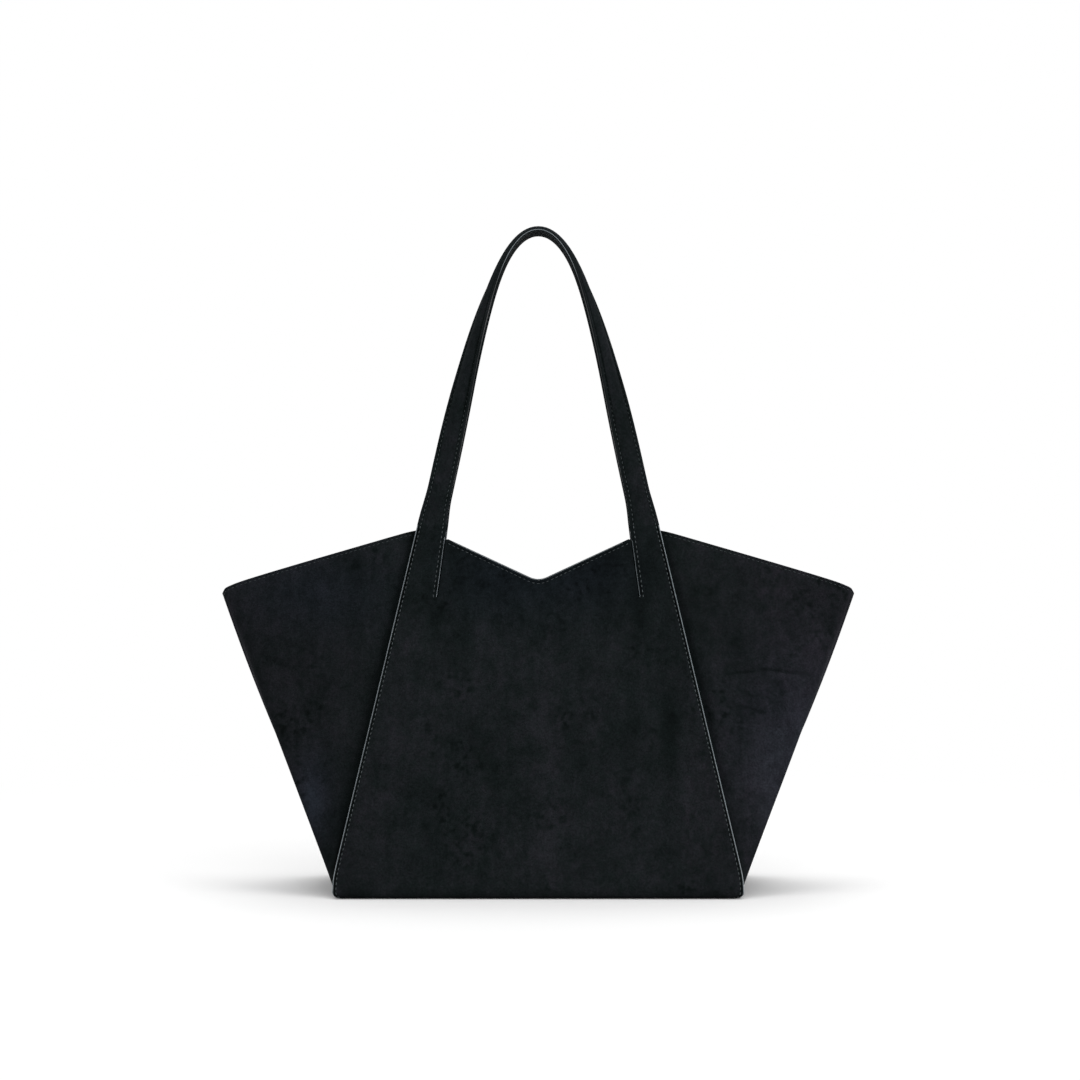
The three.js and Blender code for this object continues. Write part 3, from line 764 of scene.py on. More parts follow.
def gusset(z, creases):
    """The right gusset's outer face: a row for each height of its seam, from the front panel to the back."""
    rise = ((z - gusset_foot) / (rim_height - gusset_foot))[:, None]
    turn = np.stack([side_edge(z) - edge_gap, behind_panel(z), z], 1)
    free = turn - (seam_width, 0, 0)
    bow = np.sin(math.pi * rise ** 1.4) * (wing_bow, 0, 0)
    fold = fold_ends[0] + (fold_ends[1] - fold_ends[0]) * rise + bow
    crease = crease_ends[0] + (crease_ends[1] - crease_ends[0]) * rise + bow
    seam_start, seam_end = (towards(turn, to, seam_bend) for to in (free, fold))
    fold_start, fold_end = towards(fold, turn, 5 + 13 * rise), towards(fold, crease, 5 + 4.5 * rise)
    near_crease = towards(crease, fold, 2 + 3 * rise)
    across_crease = near_crease * (1, -1, 1)
    front = np.concatenate(
        [
            line(free, seam_start, 4),
            bend(seam_start, turn, seam_end, 6),
            line(seam_end, fold_start, 34, 1.6),
            bend(fold_start, fold, fold_end, 12),
            line(fold_end, near_crease, 8),
        ],
        1,
    )
    middle = bend(near_crease, 2 * crease - near_crease * (1, 0, 1), across_crease, 8)
    back = np.concatenate([across_crease[:, None], front[:, ::-1] * (1, -1, 1)], 1)
    grid = np.concatenate([front, middle, back], 1)
    from_seam, to_fold, to_crease = across_gusset(grid)
    on_flank = np.clip(from_seam / to_fold, 0, 1)
    on_side = np.clip((from_seam - to_fold) / (to_crease - to_fold), 0, 1)
    valley = from_seam / valley_width * np.exp(1 - from_seam / valley_width)
    valley = valley * np.clip((rise - 0.04) / 0.3, 0, 1)
    hollow = flank_hollow * np.sin(math.pi * on_flank) + side_hollow * np.sin(math.pi * on_side)
    sunk = valley_depth * valley * (1 - 0.45 * rise ** 6) + hollow * np.sin(math.pi * rise)
    grid[..., 2] += rim_bow * rise ** 4 * (1 - on_flank ** 6)
    for *shape, depth, half in creases:
        sunk = sunk + depth * in_crease(grid, *shape, half)
    return grid - outwards(grid) * sunk[..., None]


def on_gusset(grid, marks):
    """How strong a mark is over a gusset: soft patches on its front half or its back half."""
    x, z = grid[..., 0], grid[..., 2]
    return sum(amount * spot(x, z, *patch) * on_half(grid, half) for *patch, amount, half in marks)


def nap_and_shade_of_gusset(grid, marks, creases, fold_shade_close, fold_shade_wide):
    """Painted shade in the fold beside each panel and in sharp creases, painted light on the sides past the
    fold, and patches.
    """
    from_seam, to_fold, _ = across_gusset(grid)
    rise = grid[:, seam_column, None, 2] / rim_height
    nap_shade = fold_shade_close * ridge(from_seam, 0, 5) + fold_shade_wide * (1 - rise) * ridge(from_seam, 0, 16)
    # Past the fold the gusset's sides get painted light.
    nap_shade += on_gusset(grid, marks) - 0.3 * np.clip((from_seam - to_fold - 1) / 4, 0, 1)
    for *shape, depth, half in creases:
        # Sharp creases get painted shade.
        if shape[-1] < sharp_crease:
            nap_shade += 0.5 * in_crease(grid, *shape, half)
    return np.minimum(nap_shade, 0.98)


def loft(name, outer, inner, profile, material, paint=None, wear_and_shade=None):
    """A sheet between two grids. The outermost points are its cut edge, rounded back to the next points."""
    rows, columns = outer.shape[:2]
    ring = [(0, j) for j in range(columns - 1)] + [(i, columns - 1) for i in range(rows - 1)]
    ring += [(rows - 1, j) for j in range(columns - 1, 0, -1)] + [(i, 0) for i in range(rows - 1, 0, -1)]
    start = np.clip(ring, 1, (rows - 2, columns - 2))
    at_ring, at_start = tuple(np.array(ring).T), tuple(start.T)
    number = np.arange((rows - 2) * (columns - 2)).reshape(rows - 2, columns - 2)
    corners = [number[:-1, :-1], number[:-1, 1:], number[1:, 1:], number[1:, :-1]]
    faces = np.stack(corners, -1).reshape(-1, 4).tolist()
    points = [grid[1:-1, 1:-1].reshape(-1, 3) for grid in (outer, inner)]
    edge = []
    for back, depth, _ in profile[1:-1]:
        face, under = (grid[at_ring] * (1 - back) + grid[at_start] * back for grid in (outer, inner))
        edge.append(face * (1 - depth) + under * depth)
    marks = {}
    for mark, values in (wear_and_shade or {}).items():
        on_face = values[1:-1, 1:-1].ravel()
        marks[mark] = (on_face, on_face, values[at_ring])
    rim = number[tuple((start - 1).T)]
    return sheet(name, faces, rim, points, edge, profile, material, paint, marks)


def rows_between(low, high, step, rounding, groove=False):
    """Heights from low to high, close together at the edges and, for a stitched rim, beside the groove."""
    top = [high - below for below in (rim_rows if groove else (3,))]
    middle = np.linspace(low + 3, top[0], max(2, int((top[0] - low - 3) / step)))
    return np.array([low, low + rounding, *middle, *top[1:], high - rounding, high])


# Creases as (x, z, slant, width, height, depth, -1 for the front or 1 for the back): the right wing has one
# across it.
gusset_creases = {
    "right": [
        (164, 172, 0.1, 15, 1.4, 0.8, -1),
        (194, 172, -0.14, 19, 1.3, 1.2, -1),
        (190, 166, 0.0, 24, 6, -0.7, -1),
        (201, 186, 0.9, 9, 1.6, 0.8, -1),
        (172, 142, -0.3, 10, 1.3, 0.6, -1),
        (210, 205, 0.5, 10, 9, 0.6, -1),
        (196, 120, 0.3, 16, 3, 0.5, 1),
    ],
    "left": [
        (206, 180, 0.4, 8, 2.0, 0.7, 1),
        (178, 110, 0.2, 14, 22, 0.7, 1),
        (170, 206, 0.1, 30, 9, 0.5, 1),
    ],
}
# Patches of nap tone and painted light, lighter below 0, and of bluer dye as (x, z, width, height, amount,
# side), and how dark the painted shade in the fold beside each panel is, close to the seam and further out.
gusset_nap_and_light = {
    "right": [
        (206, 132, 34, 66, -0.62, -1),
        (178, 82, 26, 46, -0.62, -1),
        (165, 200, 40, 40, 0.1, -1),
        (190, 150, 40, 40, -0.2, 1),
    ],
    "left": [(176, 73, 10, 28, -0.7, 1), (200, 195, 60, 50, 0.14, 1), (150, 130, 30, 60, 0.08, 1)],
}
gusset_blue = {
    "right": [(198, 110, 46, 80, 0.36, -1), (180, 230, 50, 30, 0.4, 1)],
    "left": [(175, 235, 60, 30, 0.5, 1), (176, 73, 16, 36, 0.7, 1), (190, 120, 40, 60, 0.3, -1)],
}
fold_shade = {"right": (0.95, 0.12), "left": (1.2, 0.5)}
sharp_crease = 2.5  # creases lower than this get painted shade
gusset_rows = rows_between(gusset_foot, rim_height, 1.5, 0.8, True)
groove_row = len(gusset_rows) - 4
for side, creases in gusset_creases.items():
    face = gusset(gusset_rows, creases)
    normal = outwards(face)
    face[groove_row] -= normal[groove_row] * 0.25
    wear_and_shade = {
        "nap_and_painted_shade": nap_and_shade_of_gusset(face, gusset_nap_and_light[side], creases, *fold_shade[side]),
        "blue_of_dye": on_gusset(face, gusset_blue[side]),
    }
    outer, inner = turned(face, side), turned(face - normal * gusset_thickness, side)
    skin = loft(f"{side}_gusset_suede", outer, inner, rounded, suede, wear_and_shade=wear_and_shade)
    hand_over(skin, f"{side}_gusset")

# Inside of the gussets: twill lining up to the same height as on the walls, and a suede facing above it along
# the rim. Both are glued to the gusset and follow its folds.
strip_columns = 8
lining_back = 2.6
facing_back = 2.7


def inside_gusset(side, heights, near_face, far_face):
    """The two faces of a sheet inside a gusset, at depths below the gusset's outer face."""
    skin = gusset(heights, gusset_creases[side])
    normal = outwards(skin)
    inside = slice(strip_columns, -strip_columns)
    return [turned((skin - normal * depth)[:, inside], side) for depth in (near_face, far_face)]


for side in ("right", "left"):
    heights = rows_between(lining_foot, facing_foot - seam_clearance, 7.0, 0.5)
    near_face, far_face = inside_gusset(side, heights, gusset_thickness + 0.1, lining_back)
    lining = loft(f"{side}_gusset_lining_twill", near_face, far_face, rounded, twill)
    hand_over(lining, f"{side}_gusset_lining")
    widths = np.linalg.norm(np.diff(near_face, axis=1), axis=2).sum(1)
    length = np.linalg.norm(np.diff(near_face[:, near_face.shape[1] // 4], axis=0), axis=1).sum()
    heights = rows_between(facing_foot, rim_height, 6.0, 0.5, True)
    near_face, far_face = inside_gusset(side, heights, gusset_thickness + glue_gap, facing_back)
    facing = loft(f"{side}_gusset_facing_suede", near_face, far_face, rounded, suede)
    hand_over(facing, f"{side}_gusset_facing")

# Handles: each strap is the panel's own suede run on upwards, folded round a felt filler and backed with a
# second strip of suede. It turns by a quarter on its way up, so that it lies flat in the hand at the top.
strap_half = 9.75
strap_thickness = 2.4
pad_half = 6.5
pad_height = 2.2
root_width = 11.5  # half the strap's width at its root, level with the rim
crown = np.array([0.0, -10.2, 522.5])
root = np.array([side_edge(fold_height) - root_width, -15.9, fold_height])
splay = math.radians(13.2)
root_reach = 100.0  # how far the curve follows the root's direction, and then the crown's
crown_reach = 40.0
root_pull = root + (-root_reach * math.sin(splay), crown[1] - root[1], root_reach * math.cos(splay))
crown_pull = crown + (crown_reach, 0, 0)
root_half = root_width * math.cos(splay)
root_blend = 30.0  # over this length the strap goes from the panel's slope to its own curve
root_flare = 32.0
pad_rise = (0.05, 0.4)  # shares of a leg's length where the padding starts and is full
stitch_pull = (0.15, 0.45)  # and those where the stitches start to sink and lie deepest
late_twist = (0.45, 0.8)  # and those where the twist starts to lag and lags most
filler_start = 0.27  # the share where the filler starts
highlight_shares = (0.77, 0.87)  # the shares where the edge paint goes from its own near-black to the painted highlight
twist_delay = 0.25
strap_groove = 0.46
backing_groove = 0.15
t = np.linspace(0, 1, 600)[:, None]
leg = root * (1 - t) ** 3 + root_pull * 3 * t * (1 - t) ** 2
leg = leg + crown_pull * 3 * t ** 2 * (1 - t) + crown * t ** 3
leg_along = np.concatenate([[0], np.cumsum(np.linalg.norm(np.diff(leg, axis=0), axis=1))])
leg_length = leg_along[-1]


def on_leg(along):
    """The middle of the strap at lengths along a leg."""
    return np.stack([np.interp(along, leg_along, leg[:, k]) for k in range(3)], 1)


def strap_points(along, across, height):
    """Points on the right leg of the front handle, from lengths along it and offsets from its middle."""
    share = along / leg_length
    place = on_leg(along)
    run = on_leg(along + 0.5) - on_leg(along - 0.5)
    run[along >= leg_length - 0.5] = (-1, 0, 0)
    run = unit(run)
    out = unit(np.stack([run[:, 2], 0 * run[:, 0], -run[:, 0]], 1))
    ahead = np.cross(out, run)
    late = 1 + twist_delay * smooth(share, *late_twist)
    twist = (math.pi / 2 * np.sin(math.pi / 2 * share ** late) ** 2)[:, None]
    face = ahead * np.cos(twist) + out * np.sin(twist)
    side = out * np.cos(twist) - ahead * np.sin(twist)
    free = place[:, None] + side[:, None] * across[..., None] + face[:, None] * height[..., None]
    z = place[:, 2]
    middle = (side_edge(z) + strap_inner(z)) / 2
    spread = (side_edge(z) - strap_inner(z)) / 2 / across[:, -1]
    pattern = np.stack([middle[:, None] + across * spread[:, None], up_wall(z)[:, None] + 0 * across], 2)
    grown = wall(pattern, (strap_thickness / 2 - height) * panel_thickness / strap_thickness, [])
    share_free = smooth(along, 0, root_blend)[:, None, None]
    return grown * (1 - share_free) + free * share_free


def strap(along, inset, height):
    """A whole layer of the front handle, from the right root over the crown to the left root."""
    half = strap_half + (root_half - strap_half) * np.maximum(1 - along / root_flare, 0) ** 2
    border = np.array(inset)
    middle = np.linspace(-1, 1, middle_columns)[None] * (half - inset[-1] - 0.8)[:, None]
    across = np.concatenate([-half[:, None] + border, middle, half[:, None] - border[::-1]], 1)
    right = strap_points(along, across, height(along[:, None] / leg_length, across, half[:, None]))
    return np.concatenate([right, right[-2::-1] * (-1, 1, 1)])


def crowned(share, across):
    """How far the padding lifts the suede: from nothing at the root to full before the crown."""
    return pad_height * smooth(share, *pad_rise) * np.maximum(1 - (across / pad_half) ** 2, 0) ** 1.25


def strap_top(share, across, half):
    """The stitches draw the strap down, more so beside the padding."""
    drawn = ridge(half - np.abs(across), stitch_inset, 0.8) * (0.6 + 0.4 * smooth(share, *stitch_pull))
    return strap_thickness / 2 + crowned(share, across) - strap_groove * drawn


def backing_under(share, across, half):
    """The backing's lower face, with a shallow groove under the stitches."""
    return backing_groove * ridge(half - np.abs(across), stitch_inset, groove_width) - strap_thickness / 2


border_columns = (0.0, 0.35, 1.4, 2.2, stitch_inset, 3.4)
groove_column = border_columns.index(stitch_inset)
middle_columns = 15
close_rows = np.linspace(0.7, 20, 30)  # where the strap bends
leg_rows = np.concatenate([[0, 0.004], close_rows, np.linspace(22.5, leg_length, 88)])
quarter = arc[:5]
upper_edge = np.stack([1 - np.sin(quarter), (1 - np.cos(quarter)) / 2, 0 * quarter], 1)
upper_edge = np.concatenate([upper_edge, [[0, 0.97, 0], [1, 1, 0]]])
lower_edge = np.stack([1 - np.cos(quarter), 0.44 + 0.56 * np.sin(quarter), 0 * quarter], 1)
lower_edge = np.concatenate([[[1, 0, 1], [0, 0.03, 1]], lower_edge])
top, under, backing_face, backing_back = (
    strap(leg_rows, border_columns, height)
    for height in (
        strap_top,
        lambda share, across, half: crowned(share, across),
        lambda share, across, half: 0 * across,
        backing_under,
    )
)
filled = np.linspace(filler_start * leg_length, leg_length, 60)
filler_columns = (strap_half - 4.2, strap_half - 4.0)
filler_top = strap(filled, filler_columns, lambda share, across, half: crowned(share, across) - 0.1)
filler_foot = strap(filled, filler_columns, lambda share, across, half: 0.05 + 0 * across)
along_strap = np.concatenate([leg_rows, leg_rows[-2::-1]]) / leg_length
# Near the roots the backing's edge keeps the paint's own near-black; over the crown it takes the painted
# highlight.
highlight_off = np.repeat(1 - smooth(along_strap, *highlight_shares)[:, None], top.shape[1], 1)
from_edge = np.array([*border_columns, *[strap_half] * middle_columns, *border_columns[::-1]])
# Painted shade along the strap's stitch grooves, stronger towards the crown.
strap_groove_shade = 0.8 * ridge(from_edge, stitch_inset, 0.9)
strap_groove_shade = strap_groove_shade * (0.5 + 0.5 * smooth(along_strap, *stitch_pull))[:, None]


def bend_over(piece, side):
    """Bakes a piece's placement into its mesh."""
    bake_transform(piece)


for side in ("front", "back"):
    strap_faces, backing_faces, filler_faces = (
        [turned(grid, side) for grid in faces]
        for faces in ((top, under), (backing_face, backing_back), (filler_top, filler_foot))
    )
    wear_and_shade = {"nap_and_painted_shade": strap_groove_shade}
    outer_strip = loft(f"{side}_handle_suede", *strap_faces, upper_edge, suede, wear_and_shade=wear_and_shade)
    name, wear_and_shade = f"{side}_handle_backing_suede", {"paint_highlight_off": highlight_off}
    backing = loft(name, *backing_faces, lower_edge, suede, edge_paint_and_highlight, wear_and_shade)
    for strip, node in ((outer_strip, f"{side}_handle_strap"), (backing, f"{side}_handle_lining")):
        bend_over(strip, side)
        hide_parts(node)
    filler = loft(f"{side}_handle_filler_felt", *filler_faces, rounded, felt)
    hand_over(filler, f"{side}_handle_filler", f"{side}_handle")

# Stitching: charcoal polyester thread, sewn along the panel's sides and up both edges of the straps, along
# the V, beside the slits, along the wings' rims and across the laps under the base. A Geometry Nodes group
# sets about seven stitches to the inch.
stitch_pitch = 3.8
stitch_length = 2.4
thread_width = 0.76
fine_thread = 0.48
rim_thread_width = 0.36
thread_inset = 0.12
stitch_seed = 7
lap_row_inset = 4.5
facing_row_height = 217.5

# Polyester thread: smooth bonded plies with a slight shine.
thread, tree, shader = new_material("polyester_thread")
_, twisted = mottled(tree, 3, 2.0, ((0.3, "#323739"), (0.7, "#464d4f")))
fill(shader, {"Base Color": twisted, "Roughness": 0.6, "Specular IOR Level": 0.25})

sewing = bpy.data.node_groups.new("row_of_stitches", "GeometryNodeTree")
for socket, kind in (
    ("Rows", "NodeSocketGeometry"),
    ("Pitch", "NodeSocketFloat"),
    ("Stitch length", "NodeSocketFloat"),
    ("Thread width", "NodeSocketFloat"),
    ("Seed", "NodeSocketInt"),
    ("Thread", "NodeSocketMaterial"),
):
    sewing.interface.new_socket(socket, in_out="INPUT", socket_type=kind)
sewing.interface.new_socket("Stitches", in_out="OUTPUT", socket_type="NodeSocketGeometry")
given = add(sewing, "NodeGroupInput").node.outputs
rows = add(sewing, "GeometryNodeMeshToCurve", {"Mesh": given["Rows"]})
spaced = add(sewing, "GeometryNodeResampleCurve", {"Curve": rows, "Length": given["Pitch"]}, mode="LENGTH")
up = add(sewing, "GeometryNodeInputNamedAttribute", {"Name": "facing"}, "Attribute", data_type="FLOAT_VECTOR")
axes = {"Primary Axis": up, "Secondary Axis": add(sewing, "GeometryNodeInputTangent")}
lay = add(sewing, "FunctionNodeAxesToRotation", axes, primary_axis="Z", secondary_axis="X")
reach = {"Min": (0, 0, -0.14), "Max": (0, 0, 0.14), "Seed": given["Seed"]}
wander = add(sewing, "FunctionNodeRandomValue", reach, data_type="FLOAT_VECTOR")
turn = {"Rotation": lay, "Rotate By": add(sewing, "FunctionNodeEulerToRotation", {0: wander})}
laid = add(sewing, "FunctionNodeRotateRotation", turn, rotation_space="LOCAL")
bead = add(sewing, "GeometryNodeMeshUVSphere", {"Segments": 8, "Rings": 6, "Radius": 0.5})
flat_bead = add(sewing, "Math", {0: given["Thread width"], 1: 0.85}, operation="MULTIPLY")
size = {"X": given["Stitch length"], "Y": given["Thread width"], "Z": flat_bead}
size = add(sewing, "CombineXYZ", size)
stitch = {"Points": spaced, "Instance": bead, "Rotation": laid, "Scale": size}
sewn = add(sewing, "GeometryNodeInstanceOnPoints", stitch)
real = add(sewing, "GeometryNodeRealizeInstances", {"Geometry": sewn})
even = add(sewing, "GeometryNodeSetShadeSmooth", {"Geometry": real})
dyed = add(sewing, "GeometryNodeSetMaterial", {"Geometry": even, "Material": given["Thread"]})
fill(sewing.nodes.new("NodeGroupOutput"), {"Stitches": dyed})


def sew(name, rows, width=thread_width):
    """Rows of stitches, each given as points on a surface and the way the surface faces there."""
    points = np.concatenate([p for p, _ in rows])
    facing = np.concatenate([f for _, f in rows])
    ends = np.cumsum([len(p) for p, _ in rows])
    edges = [(k, k + 1) for k in range(len(points) - 1) if k + 1 not in ends]
    mesh = bpy.data.meshes.new(name)
    mesh.from_pydata((points / 1000).tolist(), edges, [])
    mesh.attributes.new("facing", "FLOAT_VECTOR", "POINT").data.foreach_set("vector", facing.ravel())
    row = bpy.data.objects.new(name, mesh)
    bpy.context.scene.collection.objects.link(row)
    maker = row.modifiers.new("stitches", "NODES")
    maker.node_group = sewing
    inputs = {item.name: item.identifier for item in sewing.interface.items_tree if item.in_out == "INPUT"}
    for socket, value in (
        ("Pitch", stitch_pitch / 1000),
        ("Stitch length", stitch_length / 1000),
        ("Thread width", width / 1000),
        ("Seed", stitch_seed),
        ("Thread", thread),
    ):
        maker[inputs[socket]] = value
    done = bpy.data.meshes.new_from_object(row.evaluated_get(bpy.context.evaluated_depsgraph_get()))
    row.modifiers.remove(maker)
    row.data = done
    return row


def on_wall(x, s, place, way=1):
    """A row of stitches on a face that place gives. Way -1 turns them over."""
    flat = np.stack([x + 0 * s, s + 0 * x], 1)
    face = place(flat, np.full(len(flat), thread_inset))
    return face, way * (place(flat, thread_inset - 1) - face)


row_end = fold_height - 1.9
row_points = 60
taper = 1.025  # an inset across a side edge, for 1 square to it
v_slant = 1.1  # and one down from the V
lap_s = np.linspace(1.5, lap_flat, 12)
wall_z = np.linspace(roll_top, row_end, 160)
side_s = np.concatenate([lap_s[:-1], lap_flat + roll * roll_turn[:-1], up_wall(wall_z)])
side_x = np.concatenate([0 * lap_s[:-1] + base_half - corner, roll_x[:-1], side_edge(wall_z)])
side_x -= stitch_inset * taper
slit_z = np.linspace(slit_foot + 0.4, row_end, 40)
slit_x = strap_inner(slit_z) + stitch_inset
v_row_x = np.linspace(-tongue_x + stitch_inset, tongue_x - stitch_inset, 121)
v_row_s = up_wall(rounded_v(v_row_x) - stitch_inset * v_slant)
lap_row_end = base_half - corner - 6
lap_row = np.linspace(-lap_row_end, lap_row_end, row_points)
facing_row_end = side_edge(facing_row_height - 0.5) - 12
facing_row = np.linspace(-facing_row_end, facing_row_end, row_points)
facing_row_s = np.full(row_points, up_wall(facing_row_height))
for side in ("front", "back"):
    place, inner_place = against(side), good_face(side)
    sides = [on_wall(sign * side_x, side_s, place) for sign in (-1, 1)]
    slits = [on_wall(sign * slit_x, up_wall(slit_z), place) for sign in (-1, 1)]
    v_and_lap = [on_wall(v_row_x, v_row_s, place)]
    v_and_lap.append(on_wall(lap_row, np.full(row_points, lap_row_inset), place))
    inner_rows = ((v_row_x, v_row_s), (facing_row, facing_row_s))
    inside = [on_wall(*row, inner_place, -1) for row in inner_rows]
    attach(sew(f"{side}_panel_thread", sides + slits), "bag")
    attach(sew(f"{side}_rim_thread", v_and_lap, fine_thread), "bag")
    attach(sew(f"{side}_facing_thread", inside), "bag")

between_ends = slice(2, -2)
sunk = thread_inset - 0.3 * smooth(along_strap[between_ends], 0.2, 0.45)[:, None]
for side in ("front", "back"):
    rows = []
    for face, behind, lift in ((top, under, sunk), (backing_back, backing_face, 0.0)):
        for column in (groove_column, -1 - groove_column):
            points, below = (turned(grid[between_ends, column], side) for grid in (face, behind))
            facing = unit(points - below)
            rows.append((points + facing * lift, facing))
    bend_over(sew(f"{side}_handle_thread", rows, fine_thread), side)

in_view = slice(9, -9)
for side, creases in gusset_creases.items():
    face = gusset(gusset_rows, creases)
    normal = outwards(face)
    rows = []
    for depth, way in ((thread_inset, 1), (facing_back - 0.1, -1)):
        points = turned((face - normal * depth)[groove_row, in_view], side)
        rows.append((points, way * turned(normal[groove_row, in_view], side)))
    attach(sew(f"{side}_wing_thread", rows, rim_thread_width), "bag")

# Base: a suede panel between the laps of the front and back, with tabs that close the corners beside the
# laps, a board of bonded leather that keeps it flat, and the twill lining that is glued over the board.
tab = [(157.6, -51.7), (156.9, -73), (155.6, -74), (152.9, -74), (152.9, -51.7)]
right_end = [*reversed(tab), (159.1, 0), *[(x, -y) for x, y in tab]]  # bent as the gusset's foot is
base_panel_outline = stations(right_end + [(-x, -y) for x, y in right_end], step=4.0)
tab_rise = 0.6
lining_top = 5.8
base_lining_thickness = 1.0
half_lining = [(-141, -74.5), (141, -74.5), (153, -62), (153, 62)]
base_lining_outline = stations(half_lining + [(-x, -y) for x, y in half_lining], step=5.0)


def under_base(flat, inner):
    """The base panel lies flat on the floor; its tabs rise a little, behind the panels' rounded corners."""
    rise = tab_rise * np.clip((np.abs(flat[:, 1]) + lap_end) / 6, 0, 1)
    return np.stack([flat[:, 0], -flat[:, 1], rise + inner * (1 - rise / panel_thickness)], 1)


def over_board(flat, inner):
    """The base lining lies flat on the board."""
    return np.stack([flat[:, 0], flat[:, 1], lining_top - inner + 0 * flat[:, 0]], 1)


base_panel = cut_piece(
    "base_panel_suede", base_panel_outline, under_base, suede, panel_thickness,
    rounding=0.9,
    pitch=8.0,
    groove=lambda flat: shallow_groove,
)
hand_over(base_panel, "base_panel")
base_lining = cut_piece(
    "base_lining_twill", base_lining_outline, over_board, twill, base_lining_thickness,
    rounding=0.4,
    pitch=9.0,
)
hand_over(base_lining, "base_lining")

# Bonded leather board: ground leather fibres pressed with latex, with light and dark crumbs.
board, tree, shader = new_material("bonded_leather_board")
_, speckled = mottled(tree, 2, 5.0, ((0, "#6b543c"), (1, "#a58a68")))
fill(shader, {"Base Color": speckled, "Roughness": 0.8})
base_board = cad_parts["base_board"]
base_board.data.materials.clear()
base_board.data.materials.append(board)

# Magnetic snap: a nickel-plated stud in the front facing and a socket in the back one, each on a bevelled
# steel cap. Their prongs pass through the facing and are bent over a thin plate behind it.
snap_height = 225.0
cap_depth = 5.7
plate_depth = 2.8
cap = [(9, 0), (9, 1.5), (8.9, 1.75), (8.6, 2.1), (8.3, 2.3), (7.9, 2.4)]
stud = [*cap, (4.2, 2.4), (4.2, 4.0), (4.0, 4.5), (3.4, 4.8), (0.4, 4.8)]
socket = [*cap, (5.2, 2.4), (4.9, 2.2), (4.8, 0.7), (0.4, 0.7)]
plate = [(7.2, 0), (7.5, 0.3), (7.5, 0.7), (7.2, 1)]
steps_round = 48

# Nickel plate: bright, a little warm, with fine turning marks.
nickel, tree, shader = new_material("nickel_plate")
marks, bright = mottled(tree, 0.8, 3.0, ((0, "#a9a7a0"), (1, "#c9c6bf")))
fill(shader, {
    "Base Color": bright,
    "Roughness": add(tree, "MapRange", {"Value": marks, 3: 0.2, 4: 0.36}),
    "Metallic": 1.0,
})


def turned_cap(profile, depth):
    """A turned piece on the front wall: its profile as (radius, height above the wall's inner face)."""
    middle = np.array([[0.0, up_wall(snap_height)]])
    seat = wall(middle, depth, dents["front"])[0]
    axis = wall(middle, depth + 1, dents["front"])[0] - seat
    sideways = np.array([1.0, 0, 0])
    up = np.cross(axis, sideways)
    angle = np.linspace(0, 2 * math.pi, steps_round, endpoint=False)[:, None]
    points = [seat + axis * h + r * (np.cos(angle) * sideways + np.sin(angle) * up) for r, h in profile]
    rings = np.arange(len(profile) * steps_round).reshape(len(profile), steps_round)
    onward = np.roll(rings, -1, 1)
    faces = np.stack([rings[:-1], onward[:-1], onward[1:], rings[1:]], -1).reshape(-1, 4).tolist()
    return np.concatenate(points), [*faces, rings[-1].tolist(), rings[0, ::-1].tolist()]


for node, profile, depth, side in (
    ("snap_stud", stud, cap_depth, "front"),
    ("snap_stud_plate", plate, plate_depth, "front"),
    ("snap_socket", socket, cap_depth, "back"),
    ("snap_socket_plate", plate, plate_depth, "back"),
):
    points, faces = turned_cap(profile, depth)
    snap = make(f"{node}_nickel", turned(points, side), faces, nickel)
    hand_over(snap, node)

# The stage: a plain pale floor under soft studio light. The camera sees the floor and what is beyond it as
# white, and the bag's shadow stays on the floor.
white = (1, 1, 1, 1)
shadow_reach = (0.45, 1.0)  # metres from the bag where the paper turns to plain white
air_light = 0.45
bpy.ops.mesh.primitive_plane_add(size=40, location=(0, 0, -0.0003))
floor = bpy.context.object
floor.name = "floor"


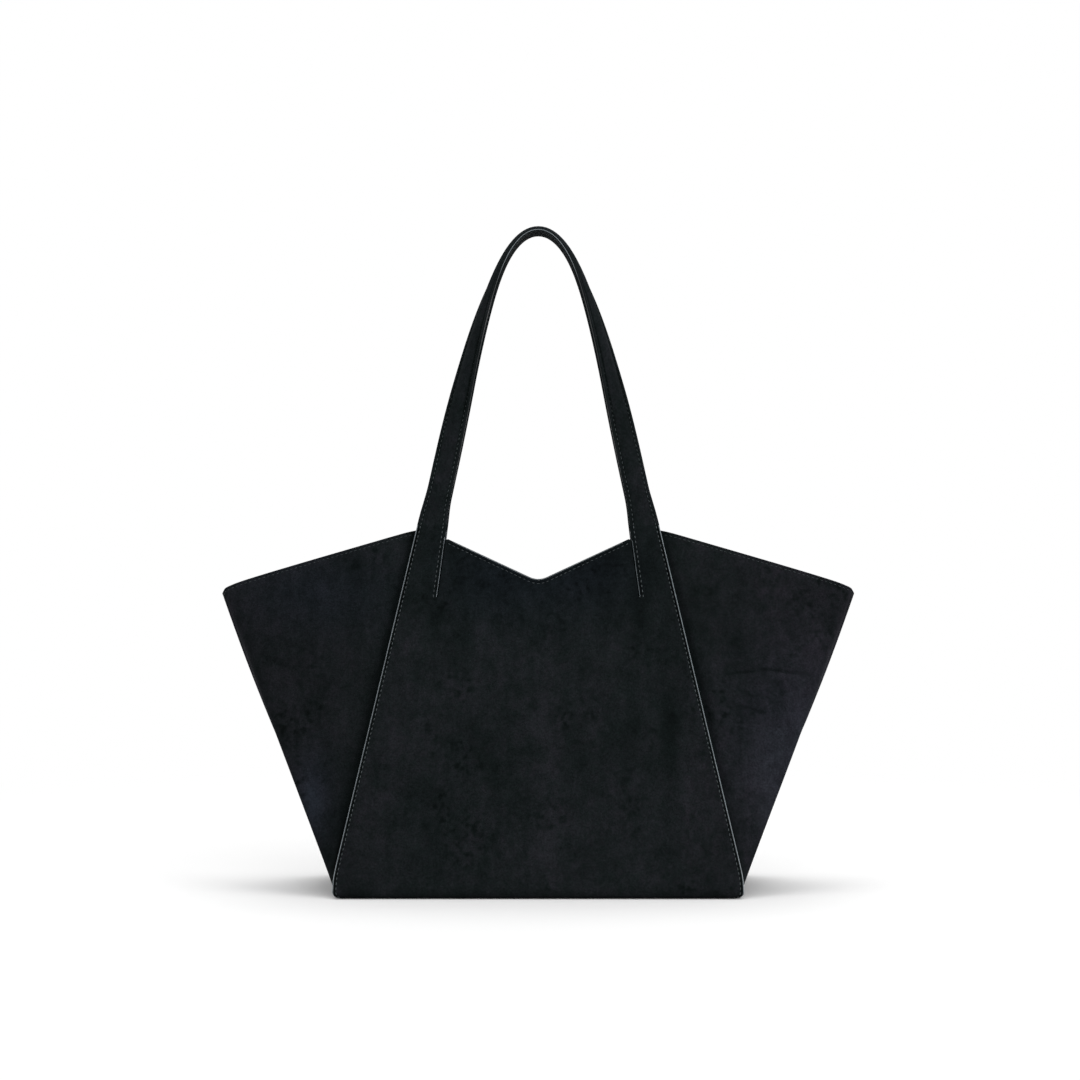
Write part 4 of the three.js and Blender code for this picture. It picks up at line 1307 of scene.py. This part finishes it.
def seen_by_eye(tree):
    """1 for what is seen straight, in a reflection or through something clear, and 0 for other light."""
    path = add(tree, "LightPath").node.outputs
    seen = path["Is Camera Ray"]
    for ray in ("Is Glossy Ray", "Is Transmission Ray"):
        seen = add(tree, "Math", {0: seen, 1: path[ray]}, operation="MAXIMUM")
    return seen


# White paper: matt, uncoated card, with no gloss at all.
paper, tree, shader = new_material("white_paper")
seen = seen_by_eye(tree)
pale = add(tree, "Mix", {0: seen, 6: linear("#8c8c8c"), 7: white}, 2, data_type="RGBA")
fill(shader, {"Base Color": pale, "Roughness": 1.0, "Specular IOR Level": 0.0})
on_paper = add(tree, "TexCoord", give="Object")
from_bag = add(tree, "VectorMath", {0: on_paper}, "Value", operation="LENGTH")
fade = {"Value": from_bag, 1: shadow_reach[0], 2: shadow_reach[1]}
afar = add(tree, "MapRange", fade, interpolation_type="SMOOTHSTEP")
afar = add(tree, "Math", {0: afar, 1: seen}, operation="MULTIPLY")
glow = add(tree, "Emission", {"Color": white, "Strength": 1.0})
sweep = add(tree, "MixShader", {0: afar, 1: shader.outputs[0], 2: glow})
fill(tree.nodes["Material Output"], {"Surface": sweep})
floor.data.materials.append(paper)

world = bpy.context.scene.world or bpy.data.worlds.new("studio")
bpy.context.scene.world = world
world.use_nodes = True
tree = world.node_tree
level = add(tree, "MapRange", {"Value": seen_by_eye(tree), 3: air_light, 4: 1.0})
fill(tree.nodes["Background"], {"Color": white, "Strength": level})

for name, place, aim_height, size, power in (
    ("left_softbox", (-1.7, -1.1, 0.75), 0.2, 1.3, 10.5),
    ("right_softbox", (1.7, -1.1, 0.65), 0.2, 1.3, 17.5),
    ("front_softbox", (0.2, -2.4, 1.3), 0.2, 1.6, 12),
    ("back_softbox", (0, 2.4, 1.2), 0.2, 1.6, 13),
    ("top_softbox", (0, 0.3, 2.2), 0.25, 1.8, 22),
):
    lamp = bpy.data.lights.new(name, "AREA")
    lamp.shape = "SQUARE"
    lamp.size = size
    lamp.energy = power
    holder = bpy.data.objects.new(name, lamp)
    holder.location = place
    holder.rotation_euler = (Vector((0, 0, aim_height)) - Vector(place)).to_track_quat("-Z", "Y").to_euler()
    bpy.context.scene.collection.objects.link(holder)

bpy.context.scene.view_settings.view_transform = "Standard"
